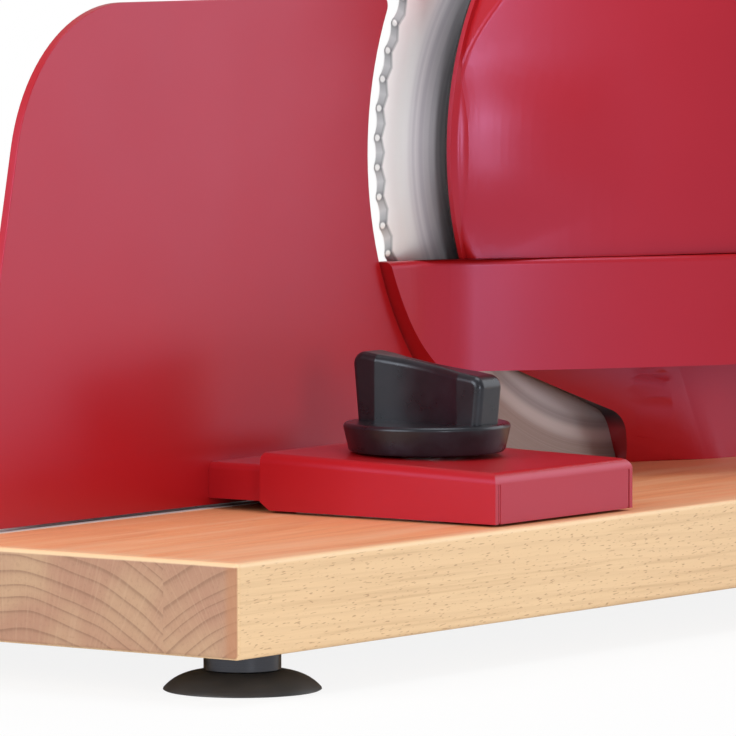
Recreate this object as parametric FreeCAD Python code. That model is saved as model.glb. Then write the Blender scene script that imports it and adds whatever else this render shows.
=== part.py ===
import FreeCAD, Part
import math
import os

from FreeCAD import Vector

os.makedirs("parts", exist_ok=True)

# Hand crank bread slicer on a beech board, with a round wave-toothed blade.
# X runs along the board from the operator's end, Y runs from the crank side
# to the bread side, and Z is up. The origin lies on the table, in the middle
# of the room that the machine takes up with its crank hanging down.
# All sizes are in millimetres.

# Board and feet
board_length = 400.0
board_width = 210.0
board_thickness = 25.0
board_arris = 1.4
foot_height = 12.0
foot_inset_x = 35.0
foot_inset_y = 25.0
cup_radius = 20.8
cup_height = 5.2
cup_wall = 2.0
stub_radius = 10.2
foot_screw_radius = 2.2
foot_screw_bite = 17.0

# Blade: the cutting plane is its flat far face
blade_radius = 85.0
blade_thickness = 1.6
blade_edge_thickness = 0.3
bevel_width = 18.0
wave_count = 62
wave_depth = 1.1
wave_slope = 10.0
blade_axis_x = 90.6
blade_axis_height = 95.6
cut_from_near_edge = 107.0

# Gear train
gear_module = 2.0
crank_gear_teeth = 32
pinion_teeth = 22
gear_line_angle = 52.0
gear_width = 9.0
tooth_backlash = 0.16
pressure_angle = 20.0

# Shafts and bearings
spindle_radius = 5.0
shaft_radius = 6.0
running_gap = 0.05
bush_wall = 2.5
bush_flange = 2.0

# Crank and grip
crank_throw = 110.0
crank_hub_radius = 13.0
crank_eye_radius = 10.0
crank_hub_width = 12.0
crank_arm_thickness = 7.0
grip_length = 97.0
grip_radius = 14.5
grip_pin_radius = 4.0
grip_end_gap = 0.3
pin_head_height = 3.0

# Depths, measured from the cutting plane towards the crank side
hub_flange_depth = 3.2
hub_flange_radius = 20.0
stand_back = 3.5
case_back_far = 7.4
case_back_near = 9.0
bulkhead_near = 13.0
gear_far = 14.5
lip_depth = 1.4
case_front = 76.0
boss_stand_out = 4.0

# Gear case outline, seen along the blade axis
case_radius = 82.0
case_shift = 20.4
case_wall = 2.5
lip_width = 1.5
gear_room = 4.1
case_back_step = 1.4

# Stand: deflector band, tub floor, pedestal, blade guard and the pedestal's shield
band_height = 32.3
band_bottom = 32.2
band_wall = 3.2
floor_thickness = 3.0
tub_gap = 0.5
guard_gap = 2.5
guard_wall = 3.0
guard_web = 2.3
guard_depth = 5.3
band_back = 6.0
band_end_gap = 1.0
band_end_far = 0.6
band_tooth_gap = 1.2
guard_start = -62.0
guard_end = 84.0
bracket_foot_x = 123.7
bracket_bend = (117.5, 14.7)
bracket_bend_radius = 12.0
bracket_tip_x = 67.2
shield_thickness = 1.0
shield_left = 30.0
shield_right = 128.0
shield_lap = 4.5
shield_wood_gap = 0.6

# Stop plate and its slide arm
plate_thickness = 2.5
plate_setback = 0.4
plate_blade_gap = 6.5
plate_top = 140.5
plate_wood_gap = 0.9
plate_left_foot = -181.3
plate_lean = 0.2157
plate_shoulder = 48.0
plate_right_foot = 28.0
slide_travel = 13.5

# Slider block and clamp
block_left = -78.5
block_width = 65.6
block_near = 5.1
block_length = 79.3
block_lift = 0.7
block_top_near = 14.5
block_top_far = 16.5
block_sheet = 1.5
block_rounding = 3.0
flange_cut_length = 3.2
flange_cut_height = 2.2
slit_width = 1.0
arm_inset = 2.6
arm_sheet = 1.5
arm_top_height = 12.9
arm_lift = 2.9
arm_reach_near = 30.0
slot_play = 0.2
clamp_y_on_board = 51.3
clamp_washer_thickness = 0.5
clamp_bolt_radius = 4.0
knob_radius = 23.1
knob_base_height = 8.0
knob_base_taper = 1.4
wing_length = 44.5
wing_thickness = 11.3
wing_waist = 6.6
wing_near_height = 13.2
wing_far_height = 19.5

# Bread carriage and its rail
carriage_left = -158.0
carriage_length = 138.0
carriage_near = 2.0
carriage_far = 93.0
table_height = 14.0
table_sheet = 1.5
flange_clear = 2.0
push_wall_height = 60.0
push_wall_sheet = 2.0
push_wall_corner = 12.0
rail_offset = 47.0
rail_rib_width = 4.0
rail_rib_height = 9.0
rail_base_width = 18.0
rail_base_thickness = 2.0
shoe_length = 30.0
shoe_gap = 0.15
carriage_back_travel = 34.0
carriage_travel = 215.0

# Places worked out from the sizes above
boss_front = case_front + boss_stand_out
spindle_centre_distance = gear_module * (crank_gear_teeth + pinion_teeth) / 2
hub_far = boss_front + bush_flange + 0.3
hub_near = hub_far + crank_hub_width
arm_far = hub_far + (crank_hub_width - crank_arm_thickness) / 2
arm_near = arm_far + crank_arm_thickness
grip_far = arm_near + 0.8
grip_near = grip_far + grip_length
pin_end = grip_near + grip_end_gap + pin_head_height
grip_reach = pin_end - cut_from_near_edge
board_middle_y = grip_reach / 2
near_edge_y = board_middle_y - board_width / 2
far_edge_y = board_middle_y + board_width / 2
cut_y = near_edge_y + cut_from_near_edge
wood_z = foot_height + board_thickness
blade_z = wood_z + blade_axis_height
crank_x = blade_axis_x + spindle_centre_distance * math.cos(math.radians(gear_line_angle))
crank_z = blade_z + spindle_centre_distance * math.sin(math.radians(gear_line_angle))
crank_case_radius = gear_module * (crank_gear_teeth + 2) / 2 + gear_room + case_wall + lip_width
case_right = crank_x + crank_case_radius
case_x = blade_axis_x + case_shift
band_z = wood_z + band_bottom
floor_top = band_z + floor_thickness
case_bottom = floor_top + tub_gap
gear_near = gear_far + gear_width


def near(depth):
    """Y of a plane that lies this deep on the crank side of the cutting plane."""
    return cut_y - depth


def in_xz(y):
    return lambda a, b: Vector(a, y, b)


def in_xy(z):
    return lambda a, b: Vector(a, b, z)


def in_yz(x):
    return lambda a, b: Vector(x, a, b)


def outline(corners, place):
    """Face through corners (a, b, radius); a radius rounds its corner."""
    runs = []
    count = len(corners)
    for i, (a, b, radius) in enumerate(corners):
        before = Vector(corners[i - 1][0] - a, corners[i - 1][1] - b, 0)
        after = Vector(corners[(i + 1) % count][0] - a, corners[(i + 1) % count][1] - b, 0)
        before.normalize()
        after.normalize()
        corner = Vector(a, b, 0)
        if radius == 0:
            runs.append((corner, None, corner))
            continue
        half = before.getAngle(after) / 2
        reach = radius / math.tan(half)
        inward = before + after
        inward.normalize()
        middle = corner + inward * (radius / math.sin(half) - radius)
        runs.append((corner + before * reach, middle, corner + after * reach))
    edges = []
    for i, (start, middle, end) in enumerate(runs):
        if middle is not None:
            points = [place(p.x, p.y) for p in (start, middle, end)]
            edges.append(Part.Arc(*points).toShape())
        following = runs[(i + 1) % count][0]
        if end.distanceToPoint(following) > 0.001:
            edges.append(Part.makeLine(place(end.x, end.y), place(following.x, following.y)))
    return Part.Face(Part.Wire(edges))


def slab(corners, far, close):
    """Plate across the blade axis, between two depths, from an outline in X and Z."""
    return outline(corners, in_xz(near(close))).extrude(Vector(0, close - far, 0))


def rod(radius, far, close, x=blade_axis_x, z=blade_z):
    """Round bar along Y between two depths."""
    return Part.makeCylinder(radius, close - far, Vector(x, near(close), z), Vector(0, 1, 0))


def tube(outer, inner, far, close, x=blade_axis_x, z=blade_z):
    return rod(outer, far, close, x, z).cut(rod(inner, far - 1, close + 1, x, z))


def post(radius, x, y, low, high):
    return Part.makeCylinder(radius, high - low, Vector(x, y, low))


def block(x0, x1, y0, y1, z0, z1):
    return Part.makeBox(x1 - x0, y1 - y0, z1 - z0, Vector(x0, y0, z0))


def turned(profile, x, y, z, axis):
    """Solid of revolution from a profile of (radius, height) points or arcs."""
    edges = []
    spot = profile[0]
    for step in profile[1:]:
        if len(step) == 4:
            arc = Part.Arc(
                Vector(spot[0], 0, spot[1]),
                Vector(step[0], 0, step[1]),
                Vector(step[2], 0, step[3]),
            )
            edges.append(arc.toShape())
            spot = (step[2], step[3])
        else:
            edges.append(Part.makeLine(Vector(spot[0], 0, spot[1]), Vector(step[0], 0, step[1])))
            spot = step
    edges.append(Part.makeLine(Vector(spot[0], 0, spot[1]), Vector(profile[0][0], 0, profile[0][1])))
    solid = Part.Face(Part.Wire(edges)).revolve(Vector(0, 0, 0), Vector(0, 0, 1), 360)
    if axis == "depth":
        solid.rotate(Vector(0, 0, 0), Vector(1, 0, 0), 90)
    solid.translate(Vector(x, y, z))
    return Part.Solid(solid) if solid.ShapeType == "Shell" else solid


def edges_where(shape, test):
    return [edge for edge in shape.Edges if test(edge)]


def save(name, *solids):
    shape = solids[0] if len(solids) == 1 else Part.makeCompound(list(solids))
    shape.exportStep("parts/%s.step" % name)


# Feet: a turned metal stub and a rubber suction cup, held by one screw
foot_places = [
    (sx * (board_length / 2 - foot_inset_x), board_middle_y + sy * (board_width / 2 - foot_inset_y))
    for sx in (-1, 1)
    for sy in (-1, 1)
]
cup_core = cup_height - cup_wall


def suction_cup(x, y):
    profile = [
        (foot_screw_radius, cup_core),
        (6.0, cup_core),
        (13.5, cup_core - 1.0, cup_radius - 1.8, 0.0),
        (cup_radius - 0.3, 0.0),
        (cup_radius, 0.5),
        (16.2, 3.5, stub_radius, cup_height),
        (foot_screw_radius, cup_height),
    ]
    return turned(profile, x, y, 0, "up")


def foot_stub(x, y):
    edge = 0.5
    profile = [
        (foot_screw_radius, cup_height),
        (stub_radius, cup_height),
        (stub_radius, foot_height - edge),
        (stub_radius - edge, foot_height),
        (foot_screw_radius, foot_height),
    ]
    return turned(profile, x, y, 0, "up")


def foot_screw(x, y):
    head = 4.4
    profile = [
        (0, 1.0),
        (head - 1.0, 1.2),
        (head, 2.0),
        (head, cup_core),
        (foot_screw_radius, cup_core),
        (foot_screw_radius, foot_height + foot_screw_bite - 2),
        (0, foot_height + foot_screw_bite),
    ]
    return turned(profile, x, y, 0, "up")


save("suction_cups", *[suction_cup(x, y) for x, y in foot_places])
save("foot_stubs", *[foot_stub(x, y) for x, y in foot_places])
save("foot_screws", *[foot_screw(x, y) for x, y in foot_places])

# Fixings that pass through the board
clamp_x = block_left + block_width / 2
clamp_y = near_edge_y + clamp_y_on_board
stand_bolt_places = [(129.5, near(10.5)), (150.0, near(13.5)), (170.5, near(15.0))]
stand_bolt_radius = 3.0
bolt_head_radius = 5.6
bolt_head_height = 4.0
washer_radius = 8.0
washer_thickness = 1.2
sink_depth = 8.0
sink_radius = 9.5

# Metal strip let into the board under the stop plate
strip_near = 4.4
strip_width = 8.0
strip_thickness = 2.0
strip_proud = 0.2
strip_end_margin = 12.0
strip_left = -board_length / 2 + strip_end_margin
strip_right = board_length / 2 - strip_end_margin
strip_top = wood_z + strip_proud
strip_middle_y = near(strip_near) + strip_width / 2
strip_screw_xs = [-180.0, -60.0, 60.0, 180.0]

# Rail of the carriage
rail_y = cut_y + rail_offset
rail_half = board_length / 2 - 6
rail_screw_xs = [-180.0 + 72.0 * i for i in range(6)]
rail_screw_offset = (rail_base_width + rail_rib_width) / 4
wood_screw_radius = 1.5
wood_screw_head = 3.0


def wood_screw(x, y, top, length):
    """Countersunk screw, head flush with the face it holds down."""
    flare = wood_screw_head - wood_screw_radius
    profile = [
        (0, 0),
        (wood_screw_head, 0),
        (wood_screw_radius, -flare),
        (wood_screw_radius, 2 - length),
        (0, -length),
    ]
    return turned(profile, x, y, top, "up")


rail_screws = [
    wood_screw(x, rail_y + (-1) ** i * rail_screw_offset, wood_z + rail_base_thickness, 15.0)
    for i, x in enumerate(rail_screw_xs)
]
strip_screws = [wood_screw(x, strip_middle_y, strip_top, 12.0) for x in strip_screw_xs]

# Guide block under the slide arm, fixed by two screws
arm_left = block_left + arm_inset
arm_right = block_left + block_width - arm_inset
top_slope = (block_top_far - block_top_near) / block_length
block_far_y = near_edge_y + block_near + block_length
block_near_y = near_edge_y + block_near


def block_top(y):
    return wood_z + block_top_near + (y - block_near_y) * top_slope


arm_top = wood_z + arm_top_height
guide_top = arm_top - arm_sheet - 0.3
guide_side_gap = 0.6
guide_near_y = clamp_y - 24.0
guide_far_y = clamp_y + 24.0
guide_left = arm_left + arm_sheet + guide_side_gap
guide_right = arm_right - arm_sheet - guide_side_gap
guide_screw_places = [(guide_left + 8.0, clamp_y), (guide_right - 8.0, clamp_y)]


def wedge(x0, x1, y0, y1, z0, height_at):
    """Block with a sloping top."""
    corners = [(y0, z0, 0), (y1, z0, 0), (y1, height_at(y1), 0), (y0, height_at(y0), 0)]
    return outline(corners, in_yz(x0)).extrude(Vector(x1 - x0, 0, 0))


guide_block = block(guide_left, guide_right, guide_near_y, guide_far_y, wood_z, guide_top)
guide_screws = [wood_screw(x, y, guide_top - 0.3, 22.0) for x, y in guide_screw_places]
guide_block = guide_block.cut(post(clamp_bolt_radius, clamp_x, clamp_y, wood_z - 1, wood_z + 30))
for screw in guide_screws:
    guide_block = guide_block.cut(screw)
for x, y in guide_screw_places:
    guide_block = guide_block.cut(post(wood_screw_head, x, y, guide_top - 0.3, guide_top + 1))

# Base board: beech staves glued edge to edge, with a groove for the strip and all its holes
board = block(
    -board_length / 2, board_length / 2, near_edge_y, far_edge_y, foot_height, wood_z
)
board = board.makeFillet(board_arris, board.Edges)
board = board.cut(
    block(strip_left, strip_right, near(strip_near), near(strip_near) + strip_width,
          strip_top - strip_thickness, wood_z + 1)
)
for x, y in foot_places:
    board = board.cut(foot_screw(x, y))
for x, y in stand_bolt_places:
    board = board.cut(post(stand_bolt_radius, x, y, foot_height - 1, wood_z + 1))
    board = board.cut(post(sink_radius, x, y, foot_height - 1, foot_height + sink_depth))
board = board.cut(post(clamp_bolt_radius, clamp_x, clamp_y, foot_height - 1, wood_z + 1))
board = board.cut(post(sink_radius, clamp_x, clamp_y, foot_height - 1, foot_height + sink_depth))
for screw in rail_screws + strip_screws + guide_screws:
    board = board.cut(screw)
save("base_board", board)

strip = block(
    strip_left, strip_right, near(strip_near), near(strip_near) + strip_width,
    strip_top - strip_thickness, strip_top,
)
for screw in strip_screws:
    strip = strip.cut(screw)
save("base_strip", strip)
save("base_strip_screws", *strip_screws)

# Stand: plan of the deflector band, a hollow curve that sweeps from the blade
# to the front of the tub, where the crank boss stands
band_start = (3.5, band_back)
band_flat_end = (14.0, band_back + 0.9)
band_flare_end = (34.0, 15.3)
band_turn = (118.0, 68.5)
band_right = case_right + tub_gap + band_wall
corner_radius = 17.0
band_front = (band_right - corner_radius, case_front)
plate_arc_radius = blade_radius + plate_blade_gap


def arc_to_level(start, end):
    """Middle point of the arc from start that ends level at end."""
    run = end[0] - start[0]
    rise = end[1] - start[1]
    radius = (run * run + rise * rise) / (2 * rise)
    half_turn = math.asin(run / radius) / 2
    return (end[0] - radius * math.sin(half_turn), end[1] - radius * (1 - math.cos(half_turn)))


def arc_onward(start, angle, end):
    """Middle point of the arc that leaves start at this angle, and its angle at end."""
    run = end[0] - start[0]
    rise = end[1] - start[1]
    chord = math.atan2(rise, run)
    sag = math.hypot(run, rise) / 2 * math.tan((chord - angle) / 2)
    middle = (
        (start[0] + end[0]) / 2 + sag * math.sin(chord),
        (start[1] + end[1]) / 2 - sag * math.cos(chord),
    )
    return middle, 2 * chord - angle


def plan_prism(inset, back, low, high):
    """Tub seen from above, as a block between two heights, open to a depth."""
    def spot(point):
        return Vector(point[0], near(point[1]), low)

    bend = 1 - math.sqrt(0.5)
    flat = math.atan2(band_flat_end[1] - band_start[1], band_flat_end[0] - band_start[0])
    flare, steep = arc_onward(band_flat_end, flat, band_flare_end)
    bow, _ = arc_onward(band_flare_end, steep, band_turn)
    band_nose = arc_to_level(band_turn, band_front)
    corner = (band_right - corner_radius * bend, case_front - corner_radius * bend)
    shoulder = (band_right, case_front - corner_radius)
    back_right = (band_right, back)
    back_left = (band_start[0] - 9.0, back)
    tail = (band_start[0] - 9.0, band_back - 3.4)
    run = [
        Part.makeLine(spot(band_start), spot(band_flat_end)),
        Part.Arc(spot(band_flat_end), spot(flare), spot(band_flare_end)).toShape(),
        Part.Arc(spot(band_flare_end), spot(bow), spot(band_turn)).toShape(),
        Part.Arc(spot(band_turn), spot(band_nose), spot(band_front)).toShape(),
        Part.Arc(spot(band_front), spot(corner), spot(shoulder)).toShape(),
        Part.makeLine(spot(shoulder), spot(back_right)),
        Part.makeLine(spot(back_right), spot(back_left)),
    ]
    if back < tail[1]:
        run.append(Part.makeLine(spot(back_left), spot(tail)))
        run.append(Part.makeLine(spot(tail), spot(band_start)))
    else:
        run[-1] = Part.makeLine(spot(back_right), spot((band_start[0] - 7.0, back)))
        run.append(Part.makeLine(spot((band_start[0] - 7.0, back)), spot(band_start)))
    wire = Part.Wire(run)
    if inset > 0:
        wire = wire.makeOffset2D(-inset, 2, False, False, False)
    return Part.Face(wire).extrude(Vector(0, 0, high - low))


# Gear case outline: a large circle on the blade's level, a smaller one round the
# crank axis, their common tangent, and a straight right side down to the tub
def case_prism(inset, far, close, bottom):
    large_round = case_radius - inset
    crank_round = crank_case_radius - inset
    lean = math.acos((large_round - crank_round) / math.hypot(crank_x - case_x, crank_z - blade_z))
    tangent = math.atan2(crank_z - blade_z, crank_x - case_x) + lean
    large_touch = (
        case_x + large_round * math.cos(tangent),
        blade_z + large_round * math.sin(tangent),
    )
    crank_touch = (
        crank_x + crank_round * math.cos(tangent),
        crank_z + crank_round * math.sin(tangent),
    )
    joining = slab(
        [(case_x, blade_z, 0), (*large_touch, 0), (*crank_touch, 0), (crank_x, crank_z, 0)],
        far, close,
    )
    lower = block(case_x, crank_x + crank_round, near(close), near(far), bottom, crank_z)
    left_half = block(
        case_x - large_round - 1, case_x, near(close), near(far), bottom, blade_z + large_round + 1
    )
    large = rod(large_round, far, close, case_x, blade_z).common(left_half)
    return large.fuse(
        [rod(crank_round, far, close, crank_x, crank_z), joining, lower]
    ).removeSplitter()


# Gears: teeth with involute flanks, each drawn as one arc through three of its points
def gear_outline(teeth, turn):
    """Gear outline; its first tooth points along the angle turn."""
    pitch = gear_module * teeth / 2
    base = pitch * math.cos(math.radians(pressure_angle))
    tip = pitch + gear_module
    root = pitch - 1.25 * gear_module
    involute = math.tan(math.radians(pressure_angle)) - math.radians(pressure_angle)
    half_tooth = math.pi / (2 * teeth) - tooth_backlash / (2 * pitch)

    def flank(radius):
        if radius <= base:
            return half_tooth + involute
        angle = math.acos(base / radius)
        return half_tooth + involute - (math.tan(angle) - angle)

    def spot(radius, angle):
        return Vector(radius * math.cos(angle), 0, radius * math.sin(angle))

    foot = max(root, base)
    waist = (foot + tip) / 2
    edges = []
    for i in range(teeth):
        middle = turn + i * 2 * math.pi / teeth
        following = middle + 2 * math.pi / teeth
        rise = [spot(r, middle - flank(r)) for r in (foot, waist, tip)]
        fall = [spot(r, middle + flank(r)) for r in (tip, waist, foot)]
        low_start = spot(root, middle + flank(foot))
        low_end = spot(root, following - flank(foot))
        edges.append(Part.Arc(*rise).toShape())
        edges.append(Part.Arc(rise[2], spot(tip, middle), fall[0]).toShape())
        edges.append(Part.Arc(*fall).toShape())
        if foot > root:
            edges.append(Part.makeLine(fall[2], low_start))
        edges.append(Part.Arc(low_start, spot(root, (middle + following) / 2), low_end).toShape())
        if foot > root:
            edges.append(Part.makeLine(low_end, spot(foot, following - flank(foot))))
    return Part.Face(Part.Wire(edges))


def gear(teeth, turn, x, z):
    body = gear_outline(teeth, turn).extrude(Vector(0, gear_width, 0))
    body.translate(Vector(x, near(gear_near), z))
    return body


# Stand: one casting with the tub, pedestal, bulkhead and blade guard
bulkhead_radius = 42.0
bulkhead_crank_radius = 30.0
bush_radius = spindle_radius + bush_wall
crank_bush_radius = shaft_radius + bush_wall
cover_screw_radius = 1.5
cover_screw_head = 3.0
boss_radius = 3.8
boss_circle = case_radius - lip_width - case_wall - 3.0
cover_boss_places = [
    (
        case_x + reach * math.cos(math.radians(angle)),
        blade_z + reach * math.sin(math.radians(angle)),
    )
    for angle, reach in ((128, boss_circle), (180, boss_circle - 7.0), (228, boss_circle))
] + [
    (case_right - lip_width - case_wall - 3.4, case_bottom + 10.0),
    (case_right - lip_width - case_wall - 3.4, blade_z - 8.0),
]
plate_screw_places = [(blade_axis_x - 38.0, blade_z), (blade_axis_x + 30.0, blade_z - 30.0),
                      (crank_x + 14.0, crank_z - 16.0)]


def band_rim():
    """Far edge of the band's left end, close round the teeth."""
    ring = tube(plate_arc_radius - band_end_gap, blade_radius + band_tooth_gap,
                band_end_far, band_back - 1.0)
    return ring.common(
        block(0, blade_axis_x, near(band_back), near(0), band_z, band_z + band_height)
    )


def tub():
    """Band, floor and right side; the left end turns in along the stop plate's arc."""
    outer = plan_prism(0, stand_back, band_z, band_z + band_height)
    inner = plan_prism(band_wall, -30.0, floor_top, band_z + band_height + 1)
    end_radius = plate_arc_radius - band_end_gap
    past_front = case_front + 5
    past_back = -35
    beyond = block(blade_axis_x, band_right + 5, near(past_front), near(past_back), 0, 300)
    room = inner.common(rod(end_radius - band_wall, past_back, past_front).fuse(beyond))
    shell = outer.common(rod(end_radius, past_back, past_front).fuse(beyond)).cut(room)
    return shell.fuse(band_rim())


def ruled_block(low_points, low_z, high_points, high_z):
    wires = []
    for points, z in ((low_points, low_z), (high_points, high_z)):
        spots = [Vector(x, near(depth), z) for x, depth in points]
        wires.append(Part.makePolygon(spots + [spots[0]]))
    return Part.makeLoft(wires, True, True)


# Pedestal plan on the board and under the tub, as places along X and their depths
pedestal_foot = [(118.0, 8.5), (143.0, 23.5), (168.0, 27.0), (178.0, 21.0),
                 (178.0, stand_back), (118.0, stand_back)]
pedestal_head = [(62.0, 6.5), (131.0, 19.5), (162.0, 27.0), (band_right, 23.0),
                 (band_right, stand_back), (62.0, stand_back)]


def pedestal():
    """Bracket under the tub, cut back in a bend on the side of the slices."""
    body = ruled_block(pedestal_foot, wood_z, pedestal_head, band_z + 0.5)
    bend_x, bend_z = bracket_bend
    opening = slab(
        [(bracket_foot_x, wood_z, 0), (bend_x, wood_z + bend_z, bracket_bend_radius),
         (bracket_tip_x, band_z, 0), (0, band_z, 0), (0, wood_z, 0)],
        0, 40,
    )
    return body.cut(opening)


def bulkhead():
    reach_left = blade_axis_x + 1.0
    reach_right = cover_boss_places[-1][0] - boss_radius - 1.2
    walls = [
        rod(bulkhead_radius, case_back_near, bulkhead_near),
        rod(bulkhead_crank_radius, case_back_near, bulkhead_near, crank_x, crank_z),
        slab([(reach_left, floor_top - 1, 0), (reach_left, blade_z, 0), (crank_x - 20, crank_z, 0),
              (crank_x + 20, crank_z, 0), (reach_right, blade_z - 20, 0),
              (reach_right, floor_top - 1, 0)], case_back_near, bulkhead_near),
    ]
    return walls[0].fuse(walls[1:]).removeSplitter()


def blade_guard():
    """Ring over the back half of the edge, on a web round the gear case."""
    ring_inner = blade_radius + guard_gap
    ring_outer = ring_inner + guard_wall
    ring = tube(ring_outer, ring_inner, 0.5, guard_depth + 0.5)
    web = rod(ring_outer - 0.5, stand_back, stand_back + guard_web)
    web = web.cut(case_prism(-1.0, stand_back - 1, stand_back + guard_web + 1, case_bottom - 40))
    reach = 150.0
    corners = [(blade_axis_x, blade_z, 0)]
    for i in range(5):
        turn = math.radians(guard_start + (guard_end - guard_start) * i / 4)
        corners.append(
            (blade_axis_x + reach * math.cos(turn), blade_z + reach * math.sin(turn), 0)
        )
    sector = slab(corners, -1, 20)
    return ring.fuse(web).common(sector).fuse(
        block(crank_x - 20, band_right, near(stand_back + guard_web), near(stand_back),
              band_z, floor_top)
    )


# Steel shield that closes the bracket towards the blade and keeps slices off the teeth
shield_far = stand_back - shield_thickness
shield_screw_radius = 1.2
shield_screw_head = 2.2
shield_screw_places = [(125.5, wood_z + 6.0), (125.0, wood_z + 22.0), (80.0, wood_z + 31.0),
                       (42.0, wood_z + 34.0)]


def shield_screw(x, z):
    profile = [
        (0, 0),
        (shield_screw_head, 0),
        (shield_screw_radius, shield_thickness),
        (shield_screw_radius, 5.0),
        (0, 5.0),
    ]
    return turned(profile, x, near(shield_far), z, "depth")


def pedestal_shield():
    low = wood_z + shield_wood_gap
    high = band_z + shield_lap
    sheet = slab(
        [(shield_left, low, 3.0), (shield_right, low, 2.0), (shield_right, high, 2.0),
         (shield_left, high, 3.0)],
        shield_far, stand_back,
    )
    for screw in shield_screws:
        sheet = sheet.cut(screw)
    return sheet.cut(band_rim())


shield_screws = [shield_screw(x, z) for x, z in shield_screw_places]
save("pedestal_shield", pedestal_shield())
save("shield_screws", *shield_screws)

stand = tub().fuse([pedestal(), bulkhead(), blade_guard()]).removeSplitter()
stand = stand.cut(rod(bush_radius, 0, 20)).cut(rod(crank_bush_radius, 0, 20, crank_x, crank_z))
for x, y in stand_bolt_places:
    stand = stand.cut(post(stand_bolt_radius, x, y, wood_z - 1, wood_z + 20))
for x, z in plate_screw_places:
    stand = stand.cut(rod(cover_screw_radius, 0, 20, x, z))
for screw in shield_screws:
    stand = stand.cut(screw)
stand = stand.cut(
    block(strip_left, strip_right, near(strip_near) - 0.3, cut_y, wood_z - 1, strip_top + 0.1)
)
save("stand", stand)


def stand_bolt(x, y):
    """Hexagon bolt from under the board, with its washer."""
    seat = foot_height + sink_depth
    hexagon = [
        (x + bolt_head_radius * math.cos(i * math.pi / 3),
         y + bolt_head_radius * math.sin(i * math.pi / 3), 0)
        for i in range(6)
    ]
    low = seat - washer_thickness - bolt_head_height
    head = outline(hexagon, in_xy(low)).extrude(Vector(0, 0, bolt_head_height))
    washer = post(washer_radius, x, y, seat - washer_thickness, seat)
    return head.fuse([washer, post(stand_bolt_radius, x, y, seat - washer_thickness, wood_z + 18)])


save("stand_bolts", *[stand_bolt(x, y).removeSplitter() for x, y in stand_bolt_places])

# Gear case: a hollow cover that follows the band, and a flat black back plate
cover_inset = band_wall + tub_gap
cover_rounding = 2.0
crank_boss_radius = 15.0
crank_boss_inner = 50.0
spindle_boss_radius = 10.5
spindle_bush_far = 27.2
spindle_bush_near = 36.0
crank_bush_far = 60.0


def is_front_rim(body, edge):
    """True for an edge between the curved front and the side of the outline."""
    middle = edge.valueAt((edge.FirstParameter + edge.LastParameter) / 2)
    if middle.z < case_bottom - 9:
        return False
    tilts = []
    for face in body.ancestorsOfType(edge, Part.Face):
        u, v = face.Surface.parameter(middle)
        tilts.append(abs(face.normalAt(u, v).y))
    return min(tilts) < 0.001 and max(tilts) > 0.05


def raised_body(inset, rounding):
    body = case_prism(lip_width + inset, -20, 110, case_bottom - 10).common(
        plan_prism(cover_inset + inset, -25.0, case_bottom - 10, crank_z + 70)
    )
    if rounding > 0:
        rim = edges_where(body, lambda edge: is_front_rim(body, edge))
        body = body.makeFillet(rounding, rim)
    return body


def gear_cover():
    lip = case_prism(0, case_back_near, case_back_near + lip_depth, case_bottom)
    room = block(-50, 250, near(120), near(case_back_near), case_bottom, 400)
    shell = lip.fuse(raised_body(0, cover_rounding).common(room))
    hollow = raised_body(case_wall, 0)
    crank_boss = rod(crank_boss_radius, crank_boss_inner, boss_front, crank_x, crank_z)
    rim = crank_boss.Edges
    crank_boss = crank_boss.makeFillet(
        1.5, [edge for edge in rim if abs(edge.BoundBox.YMin - near(boss_front)) < 0.01
              and edge.BoundBox.YLength < 0.01]
    )
    inside = raised_body(0.5, 0)
    posts = [rod(boss_radius, case_back_near, 60, x, z) for x, z in cover_boss_places]
    posts.append(rod(spindle_boss_radius, spindle_bush_far, 60))
    filled = inside.common(posts[0].fuse(posts[1:]))
    cover = shell.cut(hollow).fuse([filled.common(room), crank_boss]).removeSplitter()
    cover = cover.cut(rod(crank_bush_radius, 20, 120, crank_x, crank_z))
    cover = cover.cut(rod(bush_radius, spindle_bush_far - 1, spindle_bush_near))
    for x, z in cover_boss_places:
        cover = cover.cut(rod(cover_screw_radius, 5, case_back_near + 4.2, x, z))
    return cover


def cross_screw(x, z, seat, length):
    """Countersunk screw along Y; its head lies flush with the face at this depth."""
    flare = cover_screw_head - cover_screw_radius
    profile = [
        (0, 0),
        (cover_screw_head, 0),
        (cover_screw_radius, flare),
        (cover_screw_radius, length),
        (0, length),
    ]
    return turned(profile, x, near(seat), z, "depth")


def back_plate():
    plate = case_prism(case_back_step, case_back_far, case_back_near, case_bottom)
    plate = plate.cut(rod(bush_radius + bush_flange + 1.0, 0, 20))
    for screw in cover_screws + plate_screws:
        plate = plate.cut(screw)
    return plate


cover_screws = [cross_screw(x, z, case_back_far, 5.6) for x, z in cover_boss_places]
plate_screws = [cross_screw(x, z, case_back_far, 5.6) for x, z in plate_screw_places]
save("gear_cover", gear_cover())
save("gear_back_plate", back_plate())
save("cover_screws", *cover_screws)
save("back_plate_screws", *plate_screws)


def bush(bore, outer, far, close, x, z, flange_far=0.0, flange_near=0.0):
    """Plain bearing; a flange stands out past either end."""
    body = rod(outer, far, close, x, z)
    if flange_far > 0:
        body = body.fuse(rod(outer + bush_flange, far - flange_far, far, x, z))
    if flange_near > 0:
        body = body.fuse(rod(outer + bush_flange, close, close + flange_near, x, z))
    bore_cut = rod(bore + running_gap, far - flange_far - 1, close + flange_near + 1, x, z)
    return body.cut(bore_cut).removeSplitter()


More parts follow.
